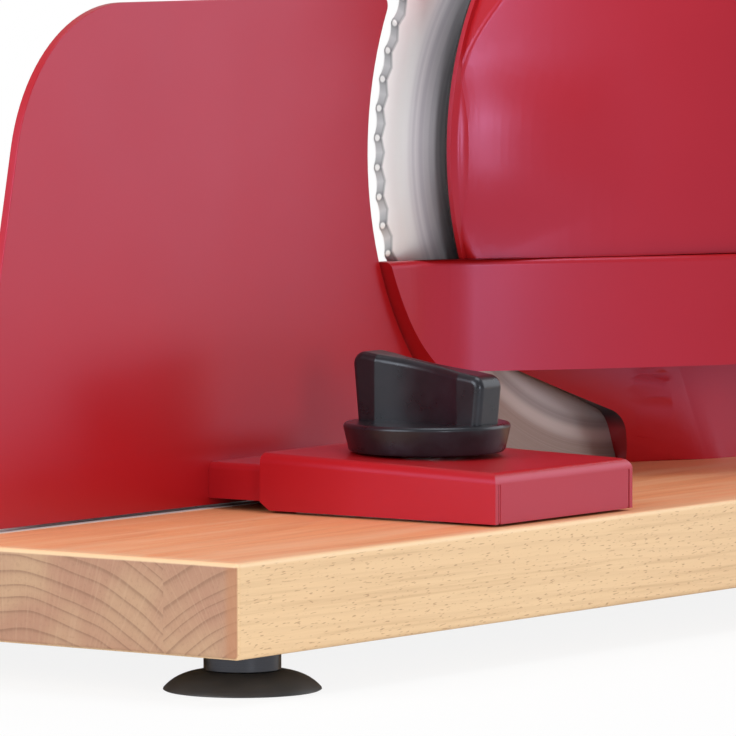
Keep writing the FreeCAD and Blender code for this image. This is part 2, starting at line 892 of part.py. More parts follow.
save(
    "spindle_bushes",
    bush(spindle_radius, bush_radius, case_back_near, bulkhead_near, blade_axis_x, blade_z,
         flange_far=bush_flange),
    bush(spindle_radius, bush_radius, spindle_bush_far, spindle_bush_near - 0.3,
         blade_axis_x, blade_z, flange_far=1.2),
)
save(
    "crank_bushes",
    bush(shaft_radius, crank_bush_radius, case_back_near, bulkhead_near, crank_x, crank_z),
    bush(shaft_radius, crank_bush_radius, crank_bush_far, boss_front, crank_x, crank_z,
         flange_near=bush_flange),
)

# Blade: a flat far face, a long bevel, and scallops ground into the edge
bevel_start = blade_radius - bevel_width
blade_screw_circle = 13.0
blade_screw_radius = 2.0
blade_screw_head = 3.4
scallop_share = 0.88
scallop_half_width = scallop_share * math.pi * blade_radius / wave_count
scallop_slope = math.radians(wave_slope)
wheel_outside = 4.0
wheel_inside = 10.0
scallop_radius = scallop_half_width ** 2 / (2 * wave_depth * math.sin(scallop_slope))


def scallop(turn):
    """Slanting grinding-wheel cut that takes one wave out of the bevel."""
    inward = Vector(-math.cos(scallop_slope), -math.sin(scallop_slope), 0)
    outward = Vector(math.sin(scallop_slope), -math.cos(scallop_slope), 0)
    touch = Vector(blade_radius - wave_depth, 0, 0)
    start = touch + outward * scallop_radius - inward * wheel_outside
    wheel = Part.makeCylinder(scallop_radius, wheel_outside + wheel_inside, start, inward)
    wheel.rotate(Vector(0, 0, 0), Vector(0, 1, 0), math.degrees(turn))
    wheel.translate(Vector(blade_axis_x, cut_y, blade_z))
    return wheel


def blade_screw_places():
    return [
        (blade_axis_x + blade_screw_circle * math.cos(math.radians(angle)),
         blade_z + blade_screw_circle * math.sin(math.radians(angle)))
        for angle in (90, 210, 330)
    ]


def blade_screw(x, z):
    profile = [
        (0, 0),
        (blade_screw_head, 0),
        (blade_screw_radius, blade_screw_head - blade_screw_radius),
        (blade_screw_radius, blade_thickness + hub_flange_depth),
        (0, blade_thickness + hub_flange_depth),
    ]
    return turned(profile, x, near(0), z, "depth")


def blade():
    disc = turned(
        [(0, 0), (blade_radius, 0), (blade_radius, blade_edge_thickness),
         (bevel_start, blade_thickness), (0, blade_thickness)],
        blade_axis_x, cut_y, blade_z, "depth",
    )
    wheels = [scallop(i * 2 * math.pi / wave_count) for i in range(wave_count)]
    disc = disc.cut(wheels)
    for screw in blade_screws:
        disc = disc.cut(screw)
    return disc


blade_screws = [blade_screw(x, z) for x, z in blade_screw_places()]
save("blade", blade())
save("blade_screws", *blade_screws)

# Blade spindle with its flange, and the pinion that drives it
neck_end = case_back_near - bush_flange - running_gap
spindle_end = spindle_bush_near - 0.8
pinion_boss_radius = 8.0
pin_radius = 1.5
spindle_pin_depth = gear_near + 1.0


def blade_spindle():
    flange_far = blade_thickness
    flange_near = blade_thickness + hub_flange_depth
    body = rod(hub_flange_radius, flange_far, flange_near)
    body = body.fuse([
        rod(pinion_boss_radius, flange_near, neck_end),
        rod(spindle_radius, neck_end, spindle_end),
    ])
    for screw in blade_screws:
        body = body.cut(screw)
    return body.removeSplitter().cut(pinion_pin())


def pinion_pin():
    length = 2 * pinion_boss_radius
    return Part.makeCylinder(
        pin_radius, length,
        Vector(blade_axis_x - length / 2, near(spindle_pin_depth), blade_z), Vector(1, 0, 0),
    )


def blade_pinion():
    tooth_turn = math.radians(gear_line_angle)
    body = gear(pinion_teeth, tooth_turn, blade_axis_x, blade_z)
    body = body.fuse([
        rod(pinion_boss_radius, bulkhead_near + 0.2, gear_far),
        rod(pinion_boss_radius, gear_near, gear_near + 2.4),
    ])
    return body.cut(rod(spindle_radius, 0, 60)).cut(pinion_pin()).removeSplitter()


save("blade_spindle", blade_spindle())
save("blade_pinion", blade_pinion())
save("pinion_pin", pinion_pin())

# Crank shaft, its gear, and the crank
shaft_body_radius = 8.0
gear_boss_radius = 13.0
gear_boss_depth = gear_near + 8.0
gear_pin_depth = gear_near + 4.0
gear_hole_circle = 22.0
gear_hole_radius = 5.5
stud_radius = 4.0
nut_height = 6.5
nut_washer_radius = 9.0
nut_washer_thickness = 1.5
nut_across_corners = 14.4


def gear_pin():
    length = 2 * gear_boss_radius
    return Part.makeCylinder(
        pin_radius, length,
        Vector(crank_x - length / 2, near(gear_pin_depth), crank_z), Vector(1, 0, 0),
    )


def crank_shaft():
    parts = [
        rod(shaft_body_radius, gear_far - 0.8, crank_bush_far - 0.1, crank_x, crank_z),
        rod(shaft_radius, crank_bush_far - 0.1, hub_near, crank_x, crank_z),
        rod(stud_radius, hub_near, hub_near + nut_washer_thickness + nut_height - 1,
            crank_x, crank_z),
    ]
    body = rod(shaft_radius, case_back_near + 0.2, gear_far - 0.8, crank_x, crank_z)
    return body.fuse(parts).removeSplitter().cut(gear_pin()).cut(hub_pin())


def crank_gear():
    space_turn = math.radians(gear_line_angle) + math.pi + math.pi / crank_gear_teeth
    body = gear(crank_gear_teeth, space_turn, crank_x, crank_z)
    body = body.fuse(rod(gear_boss_radius, gear_near, gear_boss_depth, crank_x, crank_z))
    for i in range(6):
        turn = math.radians(30 + 60 * i)
        body = body.cut(rod(gear_hole_radius, 0, gear_near + 1,
                            crank_x + gear_hole_circle * math.cos(turn),
                            crank_z + gear_hole_circle * math.sin(turn)))
    bore = rod(shaft_body_radius, 0, 60, crank_x, crank_z)
    return body.cut(bore).cut(gear_pin()).removeSplitter()


def hub_pin():
    """Cross pin that locks the hub on the shaft."""
    length = 2 * crank_hub_radius - 0.6
    return Part.makeCylinder(
        pin_radius, length,
        Vector(crank_x - length / 2, near((hub_far + hub_near) / 2), crank_z), Vector(1, 0, 0),
    )


def crank_arm():
    """Bar that tapers from the hub down to the eye of the grip pin."""
    low_z = crank_z - crank_throw
    hub_half = crank_hub_radius * 0.85
    eye_half = crank_eye_radius * 0.98
    bar = slab(
        [(crank_x - hub_half, crank_z - 6, 0), (crank_x + hub_half, crank_z - 6, 0),
         (crank_x + eye_half, low_z, 0), (crank_x - eye_half, low_z, 0)],
        arm_far, arm_near,
    )
    body = bar.fuse([
        rod(crank_eye_radius, arm_far, arm_near, crank_x, low_z),
        rod(crank_hub_radius, arm_far, arm_near, crank_x, crank_z),
    ]).removeSplitter()
    faces_y = (near(arm_near), near(arm_far))
    flat = [edge for edge in body.Edges
            if edge.BoundBox.YLength < 0.01 and min(abs(edge.BoundBox.YMin - y) for y in faces_y) < 0.01]
    body = body.makeFillet(1.2, flat)
    hub = rod(crank_hub_radius, hub_far, hub_near, crank_x, crank_z)
    ends = [edge for edge in hub.Edges if edge.BoundBox.YLength < 0.01]
    body = body.fuse(hub.makeFillet(1.0, ends)).removeSplitter()
    body = body.cut(rod(shaft_radius, 0, 150, crank_x, crank_z)).cut(hub_pin())
    return body.cut(rod(grip_pin_radius, 0, 150, crank_x, low_z))


def crank_nut():
    """Hexagon nut on a washer."""
    across = nut_across_corners / 2
    start = hub_near + nut_washer_thickness
    corners = [
        (crank_x + across * math.cos(i * math.pi / 3), crank_z + across * math.sin(i * math.pi / 3), 0)
        for i in range(6)
    ]
    crown = turned(
        [(0, 0), (across, 0), (across, nut_height - 1.2), (across - 1.6, nut_height), (0, nut_height)],
        crank_x, near(start), crank_z, "depth",
    )
    nut = slab(corners, start, start + nut_height).common(crown)
    washer = rod(nut_washer_radius, hub_near, start, crank_x, crank_z)
    return nut.fuse(washer).cut(rod(stud_radius, 0, start + nut_height - 1, crank_x, crank_z))


grip_z = crank_z - crank_throw
grip_bore = 4.3
ferrule_length = 7.0
ferrule_radius = 10.0


def grip_pin():
    collar_end = grip_far - grip_end_gap
    pin = rod(grip_pin_radius, arm_far, grip_near + grip_end_gap, crank_x, grip_z)
    collar = rod(7.0, arm_near, collar_end, crank_x, grip_z)
    start = grip_near + grip_end_gap
    dome = arc_to_level((-7.0, 1.0), (-1.0, pin_head_height))
    head = turned(
        [(0, 0), (7.0, 0), (7.0, 1.0), (-dome[0], dome[1], 1.0, pin_head_height),
         (0, pin_head_height)],
        crank_x, near(start), grip_z, "depth",
    )
    return pin.fuse([collar, head]).removeSplitter()


def grip():
    """Beech barrel, thickest past its middle, for the whole hand."""
    end = grip_length
    profile = [
        (grip_bore, 0),
        (ferrule_radius, 0),
        (ferrule_radius, ferrule_length),
        (ferrule_radius + 1.2, ferrule_length),
        (grip_radius, end * 0.52, grip_radius - 1.4, end * 0.92),
        (grip_radius - 2.5, end * 0.972, grip_radius - 6.0, end),
        (grip_bore, end),
    ]
    return turned(profile, crank_x, near(grip_far), grip_z, "depth")


def grip_ferrule():
    ring = tube(ferrule_radius + 1.2, ferrule_radius, grip_far, grip_far + ferrule_length,
                crank_x, grip_z)
    return ring


save("crank_shaft", crank_shaft())
save("crank_gear", crank_gear())
save("crank_gear_pin", gear_pin())
save("crank_hub_pin", hub_pin())
save("crank_arm", crank_arm())
save("crank_nut", crank_nut())
save("grip_pin", grip_pin())
save("grip", grip())
save("grip_ferrule", grip_ferrule())

# Slider block: a folded cover over the slide arm, with its clamp
block_right = block_left + block_width


def slider_block():
    bottom = wood_z + block_lift
    outer = wedge(block_left, block_right, block_near_y, block_far_y, bottom, block_top)
    top_edges = edges_where(
        outer,
        lambda e: e.BoundBox.ZMin > wood_z + block_top_near - 0.5 and e.BoundBox.YMin < block_far_y - 1,
    )
    outer = outer.makeFillet(block_rounding, top_edges)
    inner = wedge(
        block_left + block_sheet, block_right - block_sheet, block_near_y + block_sheet,
        block_far_y + 1, bottom - 1, lambda y: block_top(y) - block_sheet,
    )
    inner_edges = edges_where(
        inner,
        lambda e: e.BoundBox.ZMin > wood_z + block_top_near - 3 and e.BoundBox.YMin < block_far_y,
    )
    inner = inner.makeFillet(block_rounding - block_sheet, inner_edges)
    shell = outer.cut(inner)
    slit_top = wood_z + block_top_near - block_rounding
    for x in (block_left + block_sheet, block_right - block_sheet - slit_width):
        shell = shell.cut(block(x, x + slit_width, block_near_y - 1, block_near_y + block_sheet + 0.1,
                                bottom - 1, slit_top))
    flange_cut = outline(
        [(block_far_y - flange_cut_length, bottom, 0), (block_far_y + 1, bottom, 0),
         (block_far_y + 1, bottom + flange_cut_height, 0), (block_far_y, bottom + flange_cut_height, 0)],
        in_yz(block_left - 1),
    ).extrude(Vector(block_width + 2, 0, 0))
    shell = shell.cut(flange_cut)
    return shell.cut(post(clamp_bolt_radius + slot_play, clamp_x, clamp_y, wood_z, wood_z + 40))


clamp_washer_z = wood_z + block_top_near + top_slope * (clamp_y + 11.0 - block_near_y) + 0.02
knob_z = clamp_washer_z + clamp_washer_thickness + 0.05
insert_radius = 6.5
insert_depth = 6.5
knob_joint_gap = 0.05


def clamp_bolt():
    seat = foot_height + sink_depth
    head = post(bolt_head_radius + 2.0, clamp_x, clamp_y, seat - washer_thickness - 3.0, seat)
    return head.fuse(
        post(clamp_bolt_radius, clamp_x, clamp_y, seat - 1, knob_z + insert_depth - 1.0)
    ).removeSplitter()


def clamp_washer():
    ring = post(11.0, clamp_x, clamp_y, clamp_washer_z, clamp_washer_z + clamp_washer_thickness)
    return ring.cut(post(clamp_bolt_radius + 0.3, clamp_x, clamp_y, wood_z, 90))


def knob_wing():
    """Grip across the knob: waisted, higher at the far end, its ends leaning out."""
    base = knob_z + knob_base_height - 1.0
    half = wing_length / 2
    near_lean = 1.4
    far_lean = 2.0
    top_near = knob_z + knob_base_height + wing_near_height
    top_far = knob_z + knob_base_height + wing_far_height
    side = [
        (clamp_y - half + near_lean, base, 0),
        (clamp_y + half - far_lean, base, 0),
        (clamp_y + half, top_far, 3.5),
        (clamp_y - half, top_near, 3.5),
    ]
    body = outline(side, in_yz(clamp_x - wing_thickness / 2)).extrude(Vector(wing_thickness, 0, 0))
    waist_cut = (wing_thickness - wing_waist) / 2
    waist_half = half * 0.62
    radius = (waist_half ** 2 + waist_cut ** 2) / (2 * waist_cut)
    for side_sign in (-1, 1):
        centre_x = clamp_x + side_sign * (wing_waist / 2 + radius)
        body = body.cut(post(radius, centre_x, clamp_y, base - 5, top_far + 5))
    rim = edges_where(body, lambda e: e.BoundBox.ZMax > base + 1)
    return body, rim


def clamp_knob():
    edge = 1.2
    disc = turned(
        [(0, 0), (knob_radius - knob_base_taper - 0.6, 0),
         (knob_radius - knob_base_taper, 0.6), (knob_radius, knob_base_height - edge),
         (knob_radius - 0.35, knob_base_height - 0.35, knob_radius - edge, knob_base_height),
         (0, knob_base_height)],
        clamp_x, clamp_y, knob_z, "up",
    )
    body, rim = knob_wing()
    wing = body.makeFillet(2.2, rim)
    whole = disc.fuse(wing).removeSplitter()
    return whole.cut(post(insert_radius, clamp_x, clamp_y, knob_z - 1, knob_z + insert_depth))


def knob_insert():
    body = post(insert_radius, clamp_x, clamp_y, knob_z, knob_z + insert_depth)
    return body.cut(post(clamp_bolt_radius + knob_joint_gap, clamp_x, clamp_y, 0, 100))


save("slider_block", slider_block())
save("slide_guide", guide_block)
save("slide_guide_screws", *guide_screws)
save("clamp_bolt", clamp_bolt())
save("clamp_washer", clamp_washer())
save("clamp_knob", clamp_knob())
save("knob_insert", knob_insert())

# Stop plate, and the arm that carries it through the slider block
plate_near = plate_setback + plate_thickness
plate_bottom = wood_z + plate_wood_gap
arm_bottom = wood_z + arm_lift
arm_near_y = near_edge_y + arm_reach_near
arm_tab_depth = plate_near + arm_sheet
rivet_radius = 2.5
rivet_places = [(x, wood_z + 6.6) for x in (arm_left + 9.0, clamp_x, arm_right - 9.0)]


def stop_plate():
    top = wood_z + plate_top
    rise = top - plate_bottom
    body = slab(
        [(plate_left_foot, plate_bottom, 6.0), (plate_right_foot, plate_bottom, 2.0),
         (plate_right_foot, top, 0), (plate_left_foot + plate_lean * rise, top, plate_shoulder)],
        plate_setback, plate_near,
    )
    body = body.cut(rod(plate_arc_radius, -5, 20))
    points = [edge for edge in body.Edges
              if edge.BoundBox.XLength < 0.01 and edge.BoundBox.ZLength < 0.01
              and abs(math.hypot(edge.BoundBox.XMin - blade_axis_x, edge.BoundBox.ZMin - blade_z)
                      - plate_arc_radius) < 0.05]
    body = body.makeFillet(3.0, points)
    for x, z in rivet_places:
        body = body.cut(rod(rivet_radius, -5, 10, x, z))
    return body


def slide_arm():
    tab_y = near(plate_near)
    outer = block(arm_left, arm_right, arm_near_y, tab_y, arm_bottom, arm_top)
    fold = 2.0
    outer = outer.makeFillet(fold, edges_where(
        outer, lambda e: e.BoundBox.ZMin > arm_top - 0.5 and e.BoundBox.YLength > 10))
    inner = block(
        arm_left + arm_sheet, arm_right - arm_sheet, arm_near_y - 1, near(arm_tab_depth),
        arm_bottom - 1, arm_top - arm_sheet,
    )
    body = outer.cut(inner)
    half = clamp_bolt_radius + slot_play
    start = clamp_y
    end = clamp_y + slide_travel + 0.5
    slot = block(clamp_x - half, clamp_x + half, start, end, arm_bottom + 5, wood_z + 30)
    for y in (start, end):
        slot = slot.fuse(post(half, clamp_x, y, arm_bottom + 5, wood_z + 30))
    body = body.cut(slot)
    for x, z in rivet_places:
        body = body.cut(rod(rivet_radius, -5, 10, x, z))
    return body


def arm_rivet(x, z):
    """Rivet, flush on the bread side, with a low round head inside the arm."""
    return turned(
        [(0, 0), (rivet_radius, 0), (rivet_radius, arm_tab_depth - plate_setback),
         (rivet_radius + 1.5, arm_tab_depth - plate_setback),
         (2.8, arm_tab_depth - plate_setback + 1.2, 0.8, arm_tab_depth - plate_setback + 1.6),
         (0, arm_tab_depth - plate_setback + 1.6)],
        x, near(plate_setback), z, "depth",
    )


save("stop_plate", stop_plate())
save("slide_arm", slide_arm())
save("arm_rivets", *[arm_rivet(x, z) for x, z in rivet_places])

# Rail on the board, and the bread carriage that runs along it
rail_top = wood_z + rail_base_thickness + rail_rib_height


def guide_rail():
    base = block(-rail_half, rail_half, rail_y - rail_base_width / 2, rail_y + rail_base_width / 2,
                 wood_z, wood_z + rail_base_thickness)
    rib = block(-rail_half, rail_half, rail_y - rail_rib_width / 2, rail_y + rail_rib_width / 2,
                wood_z, rail_top)
    body = base.fuse(rib).removeSplitter()
    for screw in rail_screws:
        body = body.cut(screw)
    return body


save("guide_rail", guide_rail())
save("rail_screws", *rail_screws)

table_top = wood_z + table_height
table_under = table_top - table_sheet
table_near_y = cut_y + carriage_near
table_far_y = cut_y + carriage_far
carriage_right = carriage_left + carriage_length
fold_radius = 2.0
glide_width = 9.0
glide_inset = 2.5
glide_gap = 0.1


def carriage_table():
    outer = block(carriage_left, carriage_right, table_near_y, table_far_y,
                  wood_z + flange_clear, table_top)
    long_top = edges_where(
        outer, lambda e: e.BoundBox.ZMin > table_top - 0.1 and e.BoundBox.XLength > 10)
    outer = outer.makeFillet(fold_radius, long_top)
    inner = block(carriage_left - 1, carriage_right + 1, table_near_y + table_sheet,
                  table_far_y - table_sheet, wood_z, table_under)
    body = outer.cut(inner)
    for rivet in carriage_rivets:
        body = body.cut(rivet)
    return body


wall_foot = 24.0
wall_right = carriage_left + push_wall_sheet
wall_rivet_xs = [carriage_left + 15.0]
wall_rivet_ys = [table_near_y + 20.0, table_far_y - 20.0]
carriage_rivet_radius = 2.0


def carriage_rivet(x, y):
    """Flush rivet through the wall's foot and the table."""
    flare = 1.4
    top = table_top + push_wall_sheet
    return turned(
        [(0, 0), (carriage_rivet_radius + flare, 0), (carriage_rivet_radius, -flare),
         (carriage_rivet_radius, table_under - top), (carriage_rivet_radius + 1.2, table_under - top),
         (carriage_rivet_radius + 0.8, table_under - top - 1.0), (0, table_under - top - 1.0)],
        x, y, top, "up",
    )


carriage_rivets = [carriage_rivet(x, y) for x in wall_rivet_xs for y in wall_rivet_ys]


def push_wall():
    top = table_top + push_wall_height
    upright = outline(
        [(table_near_y, table_top, 0), (table_far_y, table_top, 0),
         (table_far_y, top, push_wall_corner), (table_near_y, top, push_wall_corner)],
        in_yz(carriage_left),
    ).extrude(Vector(push_wall_sheet, 0, 0))
    foot = block(carriage_left, carriage_left + wall_foot, table_near_y, table_far_y,
                 table_top, table_top + push_wall_sheet)
    body = upright.fuse(foot).removeSplitter()
    inner_fold = edges_where(
        body, lambda e: e.BoundBox.YLength > 40 and abs(e.BoundBox.XMin - wall_right) < 0.01
        and abs(e.BoundBox.ZMin - table_top - push_wall_sheet) < 0.01)
    body = body.makeFillet(1.5, inner_fold)
    for rivet in carriage_rivets:
        body = body.cut(rivet)
    return body


def glides():
    """Two plastic runners inside the flanges, sliding on the wood."""
    low = wood_z + glide_gap
    near_glide = block(carriage_left + 4, carriage_right - 4, table_near_y + table_sheet + 0.2 + 3.0,
                       table_near_y + table_sheet + 3.2 + glide_width, low, table_under)
    far_glide = block(carriage_left + 4, carriage_right - 4,
                      table_far_y - table_sheet - glide_inset - glide_width,
                      table_far_y - table_sheet - glide_inset, low, table_under)
    return near_glide, far_glide


def guide_shoes():
    """Two grooved blocks that hold the carriage to the rib of the rail."""
    shoes = []
    low = wood_z + rail_base_thickness + 0.3
    half = rail_base_width / 2
    groove = rail_rib_width / 2 + shoe_gap
    for x in (carriage_left + 6, carriage_right - 6 - shoe_length):
        shoe = block(x, x + shoe_length, rail_y - half, rail_y + half, low, table_under)
        shoe = shoe.cut(block(x - 1, x + shoe_length + 1, rail_y - groove, rail_y + groove,
                              low - 1, rail_top + 0.5))
        shoes.append(shoe)
    return shoes


save("carriage_table", carriage_table())
save("push_wall", push_wall())
save("carriage_rivets", *carriage_rivets)
save("carriage_glides", *glides())
save("guide_shoes", *guide_shoes())
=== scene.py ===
import math

import bpy
import bmesh
from mathutils import Matrix, Vector


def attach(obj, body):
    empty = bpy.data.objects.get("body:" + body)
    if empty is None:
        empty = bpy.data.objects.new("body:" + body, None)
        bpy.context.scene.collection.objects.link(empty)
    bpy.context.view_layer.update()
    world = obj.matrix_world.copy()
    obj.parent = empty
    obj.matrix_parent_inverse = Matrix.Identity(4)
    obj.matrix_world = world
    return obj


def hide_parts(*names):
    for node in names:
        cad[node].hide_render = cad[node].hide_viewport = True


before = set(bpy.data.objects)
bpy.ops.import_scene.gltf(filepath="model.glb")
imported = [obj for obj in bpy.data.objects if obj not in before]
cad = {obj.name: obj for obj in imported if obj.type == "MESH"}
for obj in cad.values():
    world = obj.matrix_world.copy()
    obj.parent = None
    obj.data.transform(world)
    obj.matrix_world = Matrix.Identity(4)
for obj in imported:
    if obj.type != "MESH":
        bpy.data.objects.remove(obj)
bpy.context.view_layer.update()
mm = 0.001  # Blender's unit is the metre; the sizes named below are in millimetres


# Base board: oiled beech, glued up from three staves, its edges eased by hand.
# The ends show the rings and the glue joints, the long faces short dark rays,
# and the top the long fibres under an orange oil.
def new_finish(name):
    finish = bpy.data.materials.new(name)
    finish.use_nodes = True
    tree = finish.node_tree
    return finish, tree, tree.nodes["Principled BSDF"]


def add(tree, kind, wires=(), **settings):
    """New node; wires lead into its inputs, by name or number."""
    made = tree.nodes.new(kind)
    for key, value in settings.items():
        setattr(made, key, value)
    for key, source in dict(wires).items():
        if isinstance(source, bpy.types.NodeSocket):
            tree.links.new(source, made.inputs[key])
        else:
            made.inputs[key].default_value = source
    return made


def maths(tree, operation, *values):
    return add(tree, "ShaderNodeMath", dict(enumerate(values)), operation=operation).outputs[0]


def diagonal(tree, first, second):
    """Distance that is so far one way and so far square to it."""
    squares = [maths(tree, "POWER", way, 2.0) for way in (first, second)]
    return maths(tree, "SQRT", maths(tree, "ADD", *squares))


def combined(tree, x, y=0.0, z=0.0):
    return add(tree, "ShaderNodeCombineXYZ", {0: x, 1: y, 2: z}).outputs[0]


def mask(tree, value, low, high):
    """0 below low, 1 above high, smooth between them; turned round if low is the higher."""
    turned = low > high
    return add(tree, "ShaderNodeMapRange", {
        "Value": value, "From Min": min(low, high), "From Max": max(low, high),
        "To Min": float(turned), "To Max": float(not turned)},
        interpolation_type="SMOOTHSTEP").outputs[0]


def between(tree, value, start, full, fading, end):
    """0 up to start, 1 from full to fading, and 0 again past end."""
    return maths(tree, "MULTIPLY", mask(tree, value, start, full), mask(tree, value, end, fading))


def blend(tree, share, first, second):
    """Mixes two colours, each a socket or red, green and blue."""
    first, second = [
        (*colour, 1.0) if isinstance(colour, tuple) else colour for colour in (first, second)]
    wires = {0: share, 6: first, 7: second}
    return add(tree, "ShaderNodeMix", wires, data_type="RGBA").outputs[2]


def layered(tree, colour, *layers):
    """Lays colours over the first one, each where its mask is up and by a share at most."""
    for where, most, tint in layers:
        colour = blend(tree, maths(tree, "MULTIPLY", where, most), colour, tint)
    return colour


def object_coords(tree):
    return add(tree, "ShaderNodeTexCoord").outputs["Object"]


def place_of(tree):
    """Object coordinates and their three parts."""
    coords = object_coords(tree)
    parts = add(tree, "ShaderNodeSeparateXYZ", {0: coords})
    return coords, parts.outputs[0], parts.outputs[1], parts.outputs[2]


def grain(tree, place, scale=1.0, detail=3.0, rough=0.5):
    """Noise over a place, with one scale or one for each axis."""
    if isinstance(scale, tuple):
        wires = {0: place, 1: scale}
        place = add(tree, "ShaderNodeVectorMath", wires, operation="MULTIPLY").outputs[0]
        scale = 1.0
    wires = {"Vector": place, "Scale": scale, "Detail": detail, "Roughness": rough}
    return add(tree, "ShaderNodeTexNoise", wires).outputs[0]


def feed(shader, socket, source):
    shader.id_data.links.new(source, shader.inputs[socket])


def relief(tree, shader, height, depth, strength):
    wires = {"Height": height, "Distance": depth, "Strength": strength}
    feed(shader, "Normal", add(tree, "ShaderNodeBump", wires).outputs[0])


def dress(finish, *names):
    """Gives CAD nodes this finish."""
    for name in names:
        mesh = cad[name].data
        mesh.materials.clear()
        mesh.materials.append(finish)


board_middle, board_half_width, board_half_length, board_top = 42.95, 105.0, 200.0, 37.0
glue_joints = (-38.0, 52.0)
stave_hearts = ((-84.0, -45.0), (14.0, -66.0), (120.0, -36.0))  # across and up, one a stave
heart_drift = 0.035  # the heart sinks by this much of the way along
ray_slant = -0.05
years_per_metre = 275.0

beech, tree, shader = new_finish("oiled beech")
coords, along, across, up = place_of(tree)
past_joint = [maths(tree, "GREATER_THAN", across, joint * mm) for joint in glue_joints]
heart = []
for axis in (0, 1):
    spot = stave_hearts[0][axis] * mm
    for past, last, following in zip(past_joint, stave_hearts, stave_hearts[1:]):
        spot = maths(tree, "MULTIPLY_ADD", past, (following[axis] - last[axis]) * mm, spot)
    heart.append(spot)
from_heart_y = maths(tree, "SUBTRACT", across, heart[0])
from_heart_z = maths(
    tree, "MULTIPLY_ADD", along, heart_drift, maths(tree, "SUBTRACT", up, heart[1]))
wander = maths(tree, "SUBTRACT", grain(tree, coords, (4, 22, 22), 2.0), 0.5)
wander = maths(tree, "MULTIPLY", wander, 9 * mm)
reach = maths(tree, "ADD", diagonal(tree, from_heart_y, from_heart_z), wander)
seasons = combined(tree, maths(tree, "MULTIPLY", reach, 75.0), *past_joint)
years = maths(tree, "MULTIPLY_ADD", grain(tree, seasons, 1.0, 1.0), 2.6,
              maths(tree, "MULTIPLY", reach, years_per_metre))
year = maths(tree, "FRACT", years)
late_wood = between(tree, year, 0.45, 0.93, 0.95, 1.0)
year_line = between(tree, year, 0.76, 0.93, 0.95, 1.0)
fibre = grain(tree, coords, (14, 700, 700), 4.0, 0.6)
fine_fibre = grain(tree, coords, (60, 3200, 3200), 2.0)
way_round = maths(tree, "ARCTAN2", from_heart_z, from_heart_y)
spokes = grain(tree, combined(
    tree, maths(tree, "MULTIPLY", way_round, 130.0), maths(tree, "MULTIPLY", reach, 60.0),
    along), 1.0, 3.0)
slant = maths(tree, "MULTIPLY_ADD", along, ray_slant, up)
rays = grain(tree, combined(
    tree, maths(tree, "MULTIPLY", along, 330.0), maths(tree, "MULTIPLY", across, 2400.0),
    maths(tree, "MULTIPLY", slant, 2400.0)), 1.0, 1.0)
rays = mask(tree, rays, 0.62, 0.70)
patch = grain(tree, coords, (9, 30, 30), 2.0)
speckle = grain(tree, coords, (1.0, 1100, 900), 3.0, 0.7)
streak = grain(tree, coords, (7, 95, 95), 3.0, 0.6)

near_corner = mask(tree, across, -57.0 * mm, -59.6 * mm)
end_wood = layered(
    tree,
    blend(tree, mask(tree, patch, 0.40, 0.60), (0.47, 0.285, 0.165), (0.40, 0.205, 0.125)),
    (late_wood, 0.22, (0.24, 0.115, 0.060)),
    (year_line, 0.42, (0.18, 0.080, 0.040)),
    (mask(tree, spokes, 0.45, 0.80), 0.35, (0.54, 0.35, 0.22)),
    (mask(tree, speckle, 0.50, 0.78), 0.35, (0.25, 0.12, 0.065)),
    (near_corner, 0.65, (0.42, 0.175, 0.075)))
side_wood = layered(
    tree, blend(tree, patch, (0.87, 0.615, 0.345), (0.82, 0.545, 0.29)),
    (late_wood, 0.14, (0.60, 0.36, 0.18)),
    (mask(tree, fibre, 0.45, 0.85), 1.0, (0.66, 0.42, 0.21)),
    (rays, 0.62, (0.40, 0.19, 0.08)))

to_long_edge = maths(tree, "ABSOLUTE", maths(tree, "SUBTRACT", across, board_middle * mm))
to_end = maths(tree, "ABSOLUTE", along)
to_edge = maths(
    tree, "MAXIMUM", maths(tree, "SUBTRACT", to_long_edge, board_half_width * mm),
    maths(tree, "SUBTRACT", to_end, board_half_length * mm))
to_edge = maths(tree, "MULTIPLY_ADD", maths(tree, "SUBTRACT", streak, 0.5), 12 * mm, to_edge)
top_wood = layered(
    tree, blend(tree, patch, (0.93, 0.41, 0.18), (0.86, 0.35, 0.14)),
    (late_wood, 0.30, (0.64, 0.24, 0.10)),
    (mask(tree, fibre, 0.42, 0.80), 1.0, (0.92, 0.50, 0.26)),
    (rays, 0.25, (0.46, 0.18, 0.08)),
    (mask(tree, streak, 0.46, 0.66), 0.55, (0.93, 0.56, 0.32)),
    (mask(tree, to_edge, -7.0 * mm, -0.5 * mm), 0.75, (0.90, 0.58, 0.33)))

is_top = mask(tree, up, (board_top - 0.7) * mm, (board_top - 0.1) * mm)
is_end = mask(
    tree, to_end, (board_half_length - 0.7) * mm, (board_half_length - 0.2) * mm)
# painted highlight: a pale cream band along the board's eased top edges
painted_edge_highlight = between(tree, up, *((board_top - below) * mm for below in (1.3, 0.8, 0.4, 0.05)))
wood = blend(tree, is_end, blend(tree, is_top, side_wood, top_wood), end_wood)
wood = layered(tree, wood, (painted_edge_highlight, 0.8, (0.88, 0.62, 0.36)))
feed(shader, "Base Color", wood)
feed(shader, "Roughness", maths(tree, "MULTIPLY_ADD", fine_fibre, 0.20, 0.36))
pores = maths(tree, "ADD", fibre, maths(tree, "MULTIPLY", fine_fibre, 0.5))
relief(tree, shader, pores, 0.08 * mm, 0.35)
shader.inputs["Coat Weight"].default_value = 0.30
shader.inputs["Coat Roughness"].default_value = 0.30
dress(beech, "base_board")


